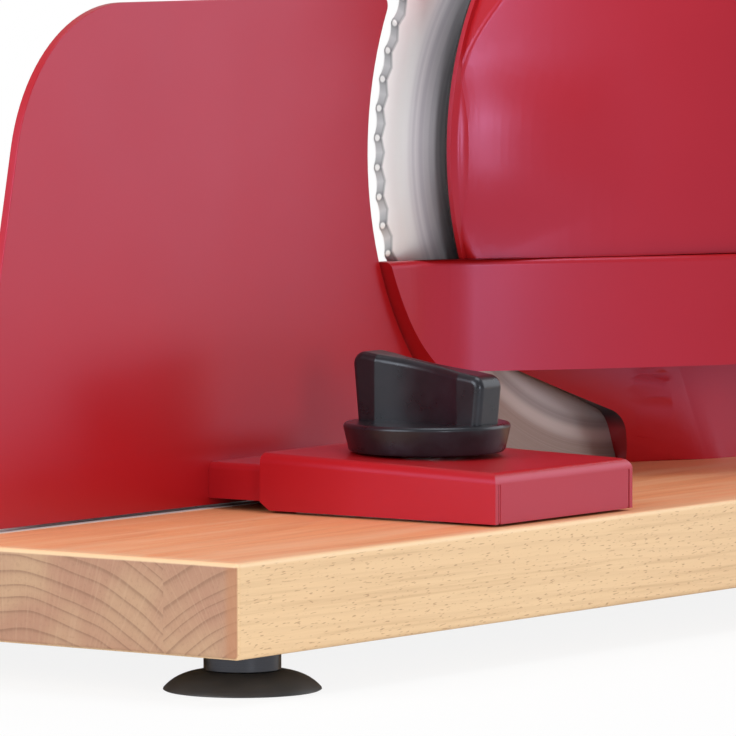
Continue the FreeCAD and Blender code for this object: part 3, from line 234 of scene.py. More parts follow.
# Four suction cups: moulded black rubber, a thin lip round a hollow dish, so
# that the machine holds on to a smooth worktop. Each is held by a foot screw.
def bow(start, middle, end, steps):
    """Points on a smooth bow from start to end, pulled towards middle."""
    points = []
    for i in range(1, steps + 1):
        t = i / steps
        points.append(tuple(
            (1 - t) ** 2 * a + 2 * t * (1 - t) * b + t * t * c
            for a, b, c in zip(start, middle, end)))
    return points


def lay_down(made):
    """Turns what stands up towards -Y."""
    quarter = Matrix.Rotation(math.radians(90), 4, "X")
    bmesh.ops.transform(made, matrix=quarter, verts=made.verts)


def to_mesh(made, mesh):
    made.to_mesh(mesh)
    made.free()
    return mesh


def lathe(name, profile, steps, depth_wise=False):
    """Closed turned mesh from (radius, height) points in mm, about Z or towards -Y."""
    turned = bmesh.new()
    rows = []
    for radius, height in profile:
        if radius == 0:
            rows.append([turned.verts.new((0, 0, height * mm))])
            continue
        rows.append([
            turned.verts.new((
                radius * mm * math.cos(2 * math.pi * i / steps),
                radius * mm * math.sin(2 * math.pi * i / steps),
                height * mm))
            for i in range(steps)])
    for low, high in zip(rows, rows[1:] + rows[:1]):
        for i in range(steps):
            ring = [low[i % len(low)], low[(i + 1) % len(low)],
                    high[(i + 1) % len(high)], high[i % len(high)]]
            corners = list(dict.fromkeys(ring))
            if len(corners) > 2:
                turned.faces.new(corners)
    bmesh.ops.recalc_face_normals(turned, faces=turned.faces)
    if depth_wise:
        lay_down(turned)
    return to_mesh(turned, bpy.data.meshes.new(name))


def smooth(mesh, turn=35.0):
    """Soft shading that keeps flat faces flat and edges sharper than turn crisp."""
    meets = {}
    for face in mesh.polygons:
        for corner in face.vertices:
            meets.setdefault(corner, []).append(face.index)
    faces = [(face.normal.copy(), face.area) for face in mesh.polygons]
    limit = math.cos(math.radians(turn))
    normals = []
    for face in mesh.polygons:
        own = faces[face.index][0]
        for corner in face.vertices:
            total = Vector((0, 0, 0))
            for other in meets[corner]:
                normal, area = faces[other]
                if normal.dot(own) >= limit:
                    total += normal * area
            normals.append(total.normalized() if total.length > 0 else own)
    mesh.shade_smooth()
    mesh.normals_split_custom_set(normals)


def add_piece(name, mesh, finish, body, slot, *stands_for):
    piece = bpy.data.objects.new(name, mesh)
    bpy.context.collection.objects.link(piece)
    mesh.materials.clear()
    mesh.materials.append(finish)
    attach(piece, body)
    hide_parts(*stands_for)
    return piece


def new_shape_tree(name, inputs):
    """Geometry node tree with these inputs, each a name and a kind, and one output."""
    tree = bpy.data.node_groups.new(name, "GeometryNodeTree")
    for label, kind in inputs:
        tree.interface.new_socket(label, in_out="INPUT", socket_type="NodeSocket" + kind)
    tree.interface.new_socket("Shape made", in_out="OUTPUT", socket_type="NodeSocketGeometry")
    return tree, tree.nodes.new("NodeGroupInput").outputs


def end_shape_tree(tree, shape, finish):
    solid = add(tree, "GeometryNodeRealizeInstances", {0: shape})
    finished = add(tree, "GeometryNodeSetMaterial", {0: solid.outputs[0], "Material": finish})
    add(tree, "NodeGroupOutput", {0: finished.outputs[0]})


def like_pieces_tree():
    """Puts one shape at each point and makes a single mesh of them."""
    tree, given = new_shape_tree("like pieces", (
        ("Places", "Geometry"), ("Shape", "Object"), ("Finish", "Material")))
    shape = add(tree, "GeometryNodeObjectInfo", {"Object": given["Shape"], "As Instance": True})
    spread = add(tree, "GeometryNodeInstanceOnPoints", {
        "Points": given["Places"], "Instance": shape.outputs["Geometry"]})
    end_shape_tree(tree, spread.outputs[0], given["Finish"])
    return tree


def plain_mesh(holder):
    """Mesh of an object with its modifiers applied; the object goes."""
    bpy.context.view_layer.update()
    seen = holder.evaluated_get(bpy.context.evaluated_depsgraph_get())
    mesh = bpy.data.meshes.new_from_object(seen)
    bpy.data.objects.remove(holder)
    return mesh


def grown(name, seed_mesh, tree, values):
    """Plain mesh that a node tree makes, its named inputs set first."""
    grower = bpy.data.objects.new(name, seed_mesh)
    bpy.context.collection.objects.link(grower)
    live = grower.modifiers.new("shape", "NODES")
    live.node_group = tree
    for item in tree.interface.items_tree:
        if item.in_out == "INPUT" and item.name in values:
            live[item.identifier] = values[item.name]
    mesh = plain_mesh(grower)
    mesh.name = name
    return mesh


like_pieces = like_pieces_tree()


def repeated(name, shape, places, finish, body, slot, *stands_for):
    """One small shape at several places in mm, as a single piece."""
    seed = bpy.data.objects.new(name + " one", shape)
    bpy.context.collection.objects.link(seed)
    spots = bpy.data.meshes.new(name + " places")
    spots.from_pydata([tuple(v * mm for v in place) for place in places], [], [])
    mesh = grown(name, spots, like_pieces, {"Shape": seed, "Finish": finish})
    bpy.data.objects.remove(seed)
    smooth(mesh)
    return add_piece(name, mesh, finish, body, slot, *stands_for)


def shades(tree, value, *stops):
    """Colour ramp through (place, colour) stops."""
    made = add(tree, "ShaderNodeValToRGB", {0: value})
    elements = made.color_ramp.elements
    while len(elements) < len(stops):
        elements.new(0.5)
    for element, (place, colour) in zip(elements, stops):
        element.position = place
        element.color = (*colour, 1.0)
    return made.outputs[0]


def plain_finish(name, pattern, dark, light, roughness, bumps=None, rough_pattern=None,
                 bump_pattern=None, light_from=0.7, sockets=()):
    """Finish that noise sways from dark to light; a pattern is what grain() takes.

    roughness is the least and the sway, bumps are their height in mm and strength.
    """
    finish, tree, shader = new_finish(name)
    coords = object_coords(tree)
    sway = grain(tree, coords, *pattern)
    feed(shader, "Base Color", shades(tree, sway, (0.3, dark), (light_from, light)))
    rough_sway = grain(tree, coords, *rough_pattern) if rough_pattern else sway
    feed(shader, "Roughness", maths(tree, "MULTIPLY_ADD", rough_sway, roughness[1], roughness[0]))
    if bumps:
        bump_sway = grain(tree, coords, *bump_pattern) if bump_pattern else sway
        relief(tree, shader, bump_sway, bumps[0] * mm, bumps[1])
    for socket, value in dict(sockets).items():
        shader.inputs[socket].default_value = value
    return finish


rubber = plain_finish(
    "black rubber", (90.0, 5.0), (0.024, 0.0245, 0.027), (0.040, 0.041, 0.045), (0.40, 0.25),
    bumps=(0.02, 0.5), bump_pattern=(2600.0, 2.0), light_from=0.75)
foot_spots = [(x, board_middle + y, 0.0) for x in (-165.0, 165.0) for y in (-80.0, 80.0)]
cup = lathe(
    "cup", [(2.2, 3.2), (6.0, 3.2)] + bow((6.0, 3.2), (13.5, 3.0), (19.2, 0.0), 8)
    + [(20.4, 0.0), (20.8, 0.22), (20.7, 0.6)]
    + bow((20.7, 0.6), (17.6, 4.1), (12.2, 4.9), 10) + [(11.4, 5.08), (10.6, 5.2), (2.2, 5.2)],
    96)
repeated("rubber_cups", cup, foot_spots, rubber, "base", "rubber", "suction_cups")

# Foot stubs: short turned steel posts, burnished dark, that stand between
# the cups and the board.
dark_steel = plain_finish(
    "dark steel", ((30, 30, 6000), 2.0), (0.050, 0.052, 0.060), (0.064, 0.067, 0.077),
    (0.13, 0.06), bumps=(0.002, 0.3), sockets={"Metallic": 1.0})
stub = lathe(
    "stub", [(2.2, 5.2), (9.9, 5.2), (10.2, 5.5), (10.2, 11.6), (9.8, 12.0), (2.2, 12.0)], 72)
repeated("steel_stubs", stub, foot_spots, dark_steel, "base", "dark_steel", "foot_stubs")

# Foot screws: zinc-plated, their flat heads inside the cups, driven up into
# the board. The same plating is on every wood screw and bolt of the machine.
zinc = plain_finish(
    "bright zinc", (420.0, 3.0), (0.58, 0.59, 0.58), (0.70, 0.71, 0.69), (0.22, 0.2),
    sockets={"Metallic": 1.0})


def cross_cut(mesh, top, width, reach, depth, depth_wise=False):
    """Sinks a cross for the driver into the head at this height, in mm."""
    blades = bmesh.new()
    for length, side in ((reach, width), (width, reach)):
        size = Matrix.Diagonal((length * mm, side * mm, 2 * depth * mm, 1.0))
        middle = Matrix.Translation((0, 0, top * mm))
        bmesh.ops.create_cube(blades, size=1.0, matrix=middle @ size)
    if depth_wise:
        lay_down(blades)
    driver = bpy.data.objects.new("driver", to_mesh(blades, bpy.data.meshes.new("driver")))
    blank = bpy.data.objects.new("screw blank", mesh)
    for made in (blank, driver):
        bpy.context.collection.objects.link(made)
    cut = blank.modifiers.new("cross", "BOOLEAN")
    cut.operation = "DIFFERENCE"
    cut.solver = "EXACT"
    cut.use_self = True
    cut.object = driver
    result = plain_mesh(blank)
    bpy.data.objects.remove(driver)
    return result


foot_screw = lathe(
    "foot screw", [(0, 1.0), (3.2, 1.15), (4.2, 1.8), (4.4, 2.2), (4.4, 3.2), (2.2, 3.2),
                   (2.2, 27.0), (0, 29.0)], 32)
foot_screw = cross_cut(foot_screw, top=1.0, width=1.0, reach=4.6, depth=1.2)
repeated("zinc_foot_screws", foot_screw, foot_spots, zinc, "base", "zinc", "foot_screws")

# Strip: drawn aluminium, let into the board under the stop plate and held by
# four countersunk screws.
matt_strip = plain_finish(
    "matt anodised strip", ((20, 5000, 5000), 3.0), (0.62, 0.62, 0.63), (0.74, 0.74, 0.75),
    (0.45, 0.15), bumps=(0.01, 0.4), sockets={"Metallic": 0.35})
dress(matt_strip, "base_strip")

wood_screw = lathe(
    "wood screw", [(0, 0), (2.8, 0), (3.0, -0.15), (1.5, -1.5), (1.5, -10.0), (0, -12.0)], 28)
wood_screw = cross_cut(wood_screw, top=0.0, width=0.7, reach=3.6, depth=0.9)
strip_y, strip_top = 44.55, 37.2
strip_screw_spots = [(x, strip_y, strip_top) for x in (-180, -60, 60, 180)]
repeated("strip_screws", wood_screw, strip_screw_spots, zinc, "base", "zinc",
         "base_strip_screws")

# Stand: one die casting with the deflector band, the tub under the gear case,
# the bracket and the guard ring, coated in deep red stove enamel.
red, tree, shader = new_finish("red stove enamel")
coords, along, across, up = place_of(tree)
depth_of_red = grain(tree, coords, 14.0, 3.0)
tone = shades(tree, depth_of_red, (0.3, (0.405, 0.0085, 0.0100)), (0.7, (0.435, 0.0105, 0.0120)))
# painted shade: the cut edges under the band, which lie in its shade, are coloured nearly black
facing = add(tree, "ShaderNodeNewGeometry").outputs["Normal"]
facing = add(tree, "ShaderNodeSeparateXYZ", {0: facing}).outputs[1]
painted_shade_edge = mask(tree, maths(tree, "ABSOLUTE", facing), 0.45, 0.25)
for zone in (between(tree, along, *(place * mm for place in (59.0, 60.0, 126.0, 127.0))),
             mask(tree, across, 29.0 * mm, 31.0 * mm),
             between(tree, up, *(place * mm for place in (36.9, 37.1, 68.7, 69.1)))):
    painted_shade_edge = maths(tree, "MULTIPLY", painted_shade_edge, zone)
tone = blend(tree, painted_shade_edge, tone, (0.008, 0.002, 0.002))
feed(shader, "Base Color", tone)
haze = grain(tree, coords, 38.0, 4.0)
feed(shader, "Roughness", maths(tree, "MULTIPLY_ADD", haze, 0.10, 0.26))
relief(tree, shader, grain(tree, coords, 420.0, 2.0), 0.012 * mm, 0.35)
shader.inputs["Specular IOR Level"].default_value = 0.66
shader.inputs["Specular Tint"].default_value = (0.82, 0.54, 1.0, 1.0)


def eased_copy(name, source, width, steps=2, turn=32.0, shade_turn=40.0, first=None):
    """Copy of a CAD node, changed by first, its sharp edges rounded off by a width in mm."""
    copy = bmesh.new()
    copy.from_mesh(cad[source].data)
    bmesh.ops.remove_doubles(copy, verts=copy.verts, dist=0.003 * mm)
    bmesh.ops.dissolve_limit(
        copy, angle_limit=math.radians(0.3), verts=copy.verts, edges=copy.edges)
    if first:
        first(copy)
    sharp = [edge for edge in copy.edges
             if len(edge.link_faces) == 2 and edge.calc_face_angle(0.0) > math.radians(turn)]
    bmesh.ops.bevel(copy, geom=sharp, offset=width * mm, offset_type="OFFSET", segments=steps,
                    profile=0.5, affect="EDGES", clamp_overlap=True)
    bmesh.ops.remove_doubles(copy, verts=copy.verts, dist=0.001 * mm)
    mesh = to_mesh(copy, bpy.data.meshes.new(name))
    smooth(mesh, shade_turn)
    return mesh


def sliced(made, faces, *planes):
    """Cuts faces along planes, each a point and a direction, and returns what they became."""
    parts = list(faces)
    parts += {edge for face in faces for edge in face.edges}
    parts += {vert for face in faces for vert in face.verts}
    for point, direction in planes:
        parts = bmesh.ops.bisect_plane(
            made, geom=parts, dist=1e-7, plane_co=point, plane_no=direction)["geom"]
    return parts


def rolled_band_top(made):
    """Rolls the outer edge along the top of the deflector band over."""
    top, roll = 101.5 * mm, 2.0 * mm
    outer = [face for face in made.faces
             if (face.normal.y < -0.2 or face.normal.x > 0.2) and abs(face.normal.z) < 0.05
             and any(abs(vert.co.z - top) < 0.05 * mm for vert in face.verts)]
    parts = sliced(made, outer, *(
        (Vector((0, 0, top - roll * (1 - math.sin(math.radians(turn))))), Vector((0, 0, 1)))
        for turn in (0, 15, 30, 45, 60, 75)))
    ways = {}
    for face in parts:
        if isinstance(face, bmesh.types.BMFace):
            for vert in face.verts:
                if vert.co.z > top - roll:
                    ways[vert] = ways.get(vert, Vector((0, 0, 0))) + face.normal
    for vert, way in ways.items():
        rise = min(vert.co.z - top + roll, roll)
        vert.co -= way.normalized() * (roll - math.sqrt(roll * roll - rise * rise))


def widened_pedestal(mesh):
    """Brings the pedestal's left edge out, and back, to stand under the band's flat start."""
    foot, head, edge_x, edge_y = 36.9 * mm, 68.9 * mm, 124.6 * mm, 40.2 * mm
    out, back = 4.0 * mm, 2.4 * mm
    for vert in mesh.vertices:
        spot = vert.co
        if foot < spot.z < head and spot.x < edge_x and spot.y < edge_y:
            spot.x -= out
            spot.y += back


def rounded_crease(mesh):
    """Rolls over the slanting crease in the pedestal's front, which fades out at its head."""
    head_z, height, lean = 69.7, 32.7, 12.0
    fold, start = 0.51, 0.05  # turn at the foot, and the least that is rolled
    reach = 6.0 * mm
    head = Vector((131.0, 0, head_z)) * mm
    square = Vector((height, 0, lean)).normalized()
    made = bmesh.new()
    made.from_mesh(mesh)
    front = [face for face in made.faces if face.normal.y < -0.3
             and 100 * mm < face.calc_center_median().x < 178 * mm
             and 37.2 * mm < face.calc_center_median().z < 69 * mm]
    steps = (-4, -3, -2, -1, 1, 2, 3, 4)
    sliced(made, front, *((head + square * reach * i / 4, square) for i in steps))
    for vert in made.verts:
        off = abs((vert.co - head).dot(square))
        if off < reach and vert.co.y < 33 * mm and 36.9 * mm < vert.co.z < 69.1 * mm:
            turn = max(0.0, fold * (head_z * mm - vert.co.z) / (height * mm) - start)
            vert.co.y += turn * (reach - off) ** 2 / (4 * reach)
    to_mesh(made, mesh)


stand_mesh = eased_copy("cast_stand", "stand", 0.6, first=rolled_band_top)
widened_pedestal(stand_mesh)
rounded_crease(stand_mesh)
smooth(stand_mesh, 40.0)
add_piece("cast_stand", stand_mesh, red, "base", "red_lacquer", "stand")


# Shield: bright steel sheet, polished in rings, screwed to the back of the
# bracket so that no slice catches on the teeth.
def eased_piece(name, source, width, finish, body, slot, **easing):
    """Eased copy of a CAD node, which stands for it."""
    mesh = eased_copy(name, source, width, **easing)
    return add_piece(name, mesh, finish, body, slot, source)


ring_middle_x, ring_middle_z = 123.2, 158.3
sheet, tree, shader = new_finish("ringed sheet steel")
_, along, _, up = place_of(tree)
ring = diagonal(tree, maths(tree, "SUBTRACT", along, ring_middle_x * mm),
                maths(tree, "SUBTRACT", up, ring_middle_z * mm))
polish = grain(tree, combined(tree, maths(tree, "MULTIPLY", ring, 2600.0)))
tone = (0.46, 0.43, 0.46)
# the two inner rings are tones of the polish; the brownish tone from 113.8 mm outwards is a
# painted reflection of the wooden board below
rings_and_board_reflection = (
    (107.6, 109.8, (0.31, 0.28, 0.29)), (110.6, 113.0, (0.50, 0.45, 0.45)),
    (113.8, 117.0, (0.30, 0.23, 0.21)))
for start, end, colour in rings_and_board_reflection:
    tone = blend(tree, mask(tree, ring, start * mm, end * mm), tone, colour)
tone = layered(tree, tone, (mask(tree, polish, 0.4, 0.9), 0.5, (0.55, 0.52, 0.53)))
feed(shader, "Base Color", tone)
feed(shader, "Roughness", maths(tree, "MULTIPLY_ADD", polish, 0.1, 0.42))
relief(tree, shader, polish, 0.01 * mm, 0.3)
shader.inputs["Metallic"].default_value = 0.55
eased_piece("bright_shield", "pedestal_shield", 0.2, sheet, "base", "bright_sheet")
dress(zinc, "shield_screws")

# Stand bolts: zinc-plated hexagon bolts and washers, their heads sunk in the
# underside of the board, driven up into the stand's foot.
dress(zinc, "stand_bolts")


# Gear cover: a deep hollow pressing, its front curved like the band below it,
# with a flat lip against the back plate. The name's place on it stays bare.
def crowned(mesh):
    """Swells the case's front where its round left rim runs out into the lip."""
    middle = Vector((111.0, 0, 132.6)) * mm
    rim, core, lip_y, right_end = 80.5 * mm, 36 * mm, 34.66 * mm, 78 * mm
    most, run_in = 3.6 * mm, 1.9 * mm
    fade_x, half_height, fade_z = 38 * mm, 31 * mm, 26 * mm
    wedge_turn, first_wedge, last_wedge = 3, -8, 23
    ring_steps = (0.4, 0.9, 1.5, 2.2, 3.0, 4.0, 5.2, 6.6, 8.2, 10, 12, 14.5, 17.5, 21, 25, 30, 36)
    half_turn = math.radians(wedge_turn / 2)
    made = bmesh.new()
    made.from_mesh(mesh)
    turns = [math.radians(wedge_turn * i) for i in range(first_wedge, last_wedge + 1)]
    left = [face for face in made.faces if any(vert.co.x < right_end for vert in face.verts)]
    parts = sliced(made, left, *((middle, (math.sin(turn), 0, math.cos(turn))) for turn in turns))
    wedges = {}
    for face in parts:
        if isinstance(face, bmesh.types.BMFace):
            out = face.calc_center_median() - middle
            wedge = math.floor(math.degrees(math.atan2(out.z, -out.x)) / wedge_turn)
            if first_wedge <= wedge < last_wedge and math.hypot(out.x, out.z) > core:
                wedges.setdefault(wedge, []).append(face)
    for wedge, faces in sorted(wedges.items()):
        turn = math.radians(wedge_turn * wedge) + half_turn
        way = Vector((-math.cos(turn), 0, math.sin(turn)))
        sliced(made, faces, *(
            (middle + way * (rim - inward * mm) * math.cos(half_turn), way)
            for inward in ring_steps))
    for vert in made.verts:
        spot = vert.co - middle
        inward = rim - math.hypot(spot.x, spot.z)
        if vert.co.y < lip_y and vert.co.x < right_end and inward > 0:
            leftward = min(max((right_end - vert.co.x) / fade_x, 0.0), 1.0)
            level = min(max((half_height - abs(spot.z)) / fade_z, 0.0), 1.0)
            swell = most * leftward ** 2 * (3 - 2 * leftward) * level ** 2 * (3 - 2 * level)
            vert.co.y -= swell * (1 - math.exp(-inward / run_in))
    to_mesh(made, mesh)
    smooth(mesh, 40.0)
    return mesh


case_mesh = crowned(eased_copy("gear_case", "gear_cover", 0.5))
add_piece("gear_case", case_mesh, red, "base", "red_lacquer", "gear_cover")

# Back plate: sheet that closes the case, held by small countersunk screws from the
# blade's side. Its black is painted shade, standing for the shadow in the gap between the blade
# and the case's rim.
black = plain_finish(
    "black painted shade", (60.0, 3.0), (0.012, 0.012, 0.013), (0.02, 0.02, 0.02), (0.28, 0.2),
    bumps=(0.01, 0.4), rough_pattern=(300.0, 3.0), bump_pattern=(700.0, 2.0))
dress(black, "gear_back_plate")
dress(zinc, "cover_screws", "back_plate_screws")

# Bushes: sintered bronze bearings, oily and a little mottled, pressed into
# the stand and the cover.
bronze = plain_finish(
    "sintered bronze", (1500.0, 4.0), (0.40, 0.25, 0.10), (0.62, 0.42, 0.20), (0.28, 0.25),
    bumps=(0.03, 0.4), sockets={"Metallic": 1.0})
dress(bronze, "spindle_bushes", "crank_bushes")


# Slider block: red enamelled sheet, folded down on three sides over the slide
# arm and open towards the stop plate. Its corners are slit, not welded.
def with_strips(mesh, *strips):
    """Adds narrow closed strips, as low and high corners in mm, behind the slits."""
    made = bmesh.new()
    made.from_mesh(mesh)
    for low, high in strips:
        middle = [(a + b) / 2 * mm for a, b in zip(low, high)]
        size = Matrix.Diagonal((*[(b - a) * mm for a, b in zip(low, high)], 1.0))
        bmesh.ops.create_cube(made, size=1.0, matrix=Matrix.Translation(middle) @ size)
    return to_mesh(made, mesh)


slit_front, slit_back, slit_foot, slit_head = -56.85, -55.6, 38.0, 48.6
block_mesh = with_strips(eased_copy("folded_block", "slider_block", 0.6), *(
    ((left, slit_front, slit_foot), (right, slit_back, slit_head))
    for left, right in ((-76.68, -75.6), (-15.8, -14.72))))
smooth(block_mesh, 40.0)
add_piece("folded_block", block_mesh, red, "base", "red_lacquer", "slider_block")

# Guide under the arm: a block of off-white plastic, screwed to the board,
# with the clamp's bolt through its middle.
pale = plain_finish(
    "off-white plastic", (45.0, 3.0), (0.70, 0.68, 0.62), (0.77, 0.75, 0.70), (0.38, 0.15),
    bumps=(0.015, 0.4), rough_pattern=(500.0, 2.0), bump_pattern=(1500.0, 2.0))
dress(pale, "slide_guide")
dress(zinc, "slide_guide_screws", "clamp_bolt", "clamp_washer")

# Guide rail: drawn aluminium section with one upright rib, screwed along the
# bread side of the board by six wood screws, in turn on either side of the rib.
aluminium = plain_finish(
    "satin aluminium", ((20, 5000, 5000), 3.0), (0.66, 0.66, 0.65), (0.80, 0.80, 0.79),
    (0.26, 0.18), bumps=(0.01, 0.4), sockets={"Metallic": 1.0})
dress(aluminium, "guide_rail")
rail_middle, rail_flange_top, beside_rib, rail_screw_pitch = 91.95, 39.0, 5.5, 72
rail_screw_spots = [
    (-180 + rail_screw_pitch * i, rail_middle + (-1) ** i * beside_rib, rail_flange_top)
    for i in range(6)]
repeated("rail_wood_screws", wood_screw, rail_screw_spots, zinc, "base", "zinc", "rail_screws")

# Clamp knob: satin black plastic, moulded with a waisted wing across a round
# foot, on a bronze thread insert.
plastic = plain_finish(
    "satin black plastic", (160.0, 5.0, 0.6), (0.008, 0.007, 0.009), (0.017, 0.015, 0.019),
    (0.20, 0.20), bumps=(0.03, 0.5), bump_pattern=(900.0, 3.0), light_from=0.75,
    sockets={"Specular Tint": (0.80, 0.88, 1.0, 1.0)})
eased_piece("winged_knob", "clamp_knob", 0.3, plastic, "knob", "black_plastic",
            turn=40.0, shade_turn=45.0)
dress(bronze, "knob_insert")

# Stop plate: 2.5 mm sheet in red enamel, cut out round the blade, its rim
# rounded over. It is riveted to the arm and sets the thickness of the slice.
eased_piece("red_stop_plate", "stop_plate", 0.7, red, "stop", "red_lacquer", steps=3)

# Slide arm: sheet steel folded to a channel, in the same red as the plate.
# It runs through the slider block, where the knob clamps it.
eased_piece("red_slide_arm", "slide_arm", 0.35, red, "stop", "red_lacquer")

# Rivets of the stop plate: bright steel, flush on the bread side and closed
# round inside the arm.
steel = plain_finish(
    "bright turned steel", ((700, 2500, 700), 3.0), (0.50, 0.50, 0.51), (0.66, 0.66, 0.67),
    (0.20, 0.15), bumps=(0.01, 0.4), sockets={"Metallic": 1.0})
dress(steel, "arm_rivets")

# Blade: hardened steel disc, flat on the bread side, with a long bevel on the
# other and sixty-two waves ground into its edge by a slanting wheel.
blade_x, blade_z, cut_y = 90.6, 132.6, 44.95
blade_radius, bevel_start, waves = 85, 67, 62
polish_start, facet_start, tip_middle = 66.0, 80.5, 83.5  # radii in the finish
tip_pitch = 8.6

blade_steel, tree, shader = new_finish("polished blade steel")
_, along, across, up = place_of(tree)
off_x = maths(tree, "SUBTRACT", along, blade_x * mm)
off_z = maths(tree, "SUBTRACT", up, blade_z * mm)
radius = diagonal(tree, off_x, off_z)
rings = grain(tree, combined(tree, maths(tree, "MULTIPLY", radius, 3000.0)))
bands = grain(tree, combined(tree, maths(tree, "MULTIPLY", radius, 260.0)))
turns = maths(tree, "MULTIPLY_ADD", maths(tree, "ARCTAN2", off_z, off_x),
              waves / (2 * math.pi), 0.5)
off_wave = maths(tree, "ABSOLUTE", maths(tree, "SUBTRACT", maths(tree, "FRACT", turns), 0.5))
from_root = maths(tree, "SUBTRACT", maths(tree, "MULTIPLY_ADD", off_wave, -2.6 * mm, radius),
                  facet_start * mm)
ground_side = mask(tree, across, (cut_y - 0.02) * mm, (cut_y - 0.06) * mm)
# painted shading across each ground scallop: light at its root, dark towards the tips
scallop_shading = shades(tree, off_wave, (0.0, (0.66, 0.67, 0.69)), (0.30, (0.50, 0.51, 0.53)),
               (0.46, (0.24, 0.24, 0.25)))
# painted shade along the crease where each scallop meets the bevel
root_crease_shade = between(tree, from_root, -0.7 * mm, -0.1 * mm, 0.2 * mm, 0.9 * mm)
# painted glints: white spots on the tips of the teeth
off_tip = maths(tree, "MULTIPLY_ADD", off_wave, -tip_pitch * mm, tip_pitch / 2 * mm)
from_tip_glint = diagonal(tree, off_tip, maths(tree, "SUBTRACT", radius, tip_middle * mm))

tone = blend(tree, mask(tree, bands, 0.3, 0.7), (0.58, 0.56, 0.62), (0.82, 0.80, 0.84))
tone = blend(tree, mask(tree, radius, polish_start * mm, 75.0 * mm), tone, (0.98, 0.98, 0.98))
tone = layered(
    tree, tone,
    (ground_side, mask(tree, from_root, -0.1 * mm, 0.3 * mm), scallop_shading),
    (maths(tree, "MULTIPLY", ground_side, root_crease_shade), 0.55, (0.30, 0.31, 0.33)),
    (ground_side, mask(tree, from_tip_glint, 1.25 * mm, 0.65 * mm), (1.0, 1.0, 1.0)))
feed(shader, "Base Color", tone)
is_bevel = mask(tree, radius, polish_start * mm, 82.0 * mm)
base_roughness = maths(tree, "MULTIPLY_ADD", is_bevel, -0.20, 0.52)
feed(shader, "Roughness", maths(tree, "MULTIPLY_ADD", rings, 0.08, base_roughness))
outward = add(tree, "ShaderNodeVectorMath", {0: combined(tree, off_x, 0.0, off_z)},
              operation="NORMALIZE")
feed(shader, "Tangent", outward.outputs[0])
feed(shader, "Anisotropic", maths(tree, "MULTIPLY_ADD", is_bevel, -0.4, 0.8))
relief(tree, shader, rings, 0.006 * mm, 0.4)
shine = maths(tree, "MULTIPLY_ADD", mask(tree, radius, polish_start * mm, 76.0 * mm), 0.4, 0.6)
feed(shader, "Metallic", shine)


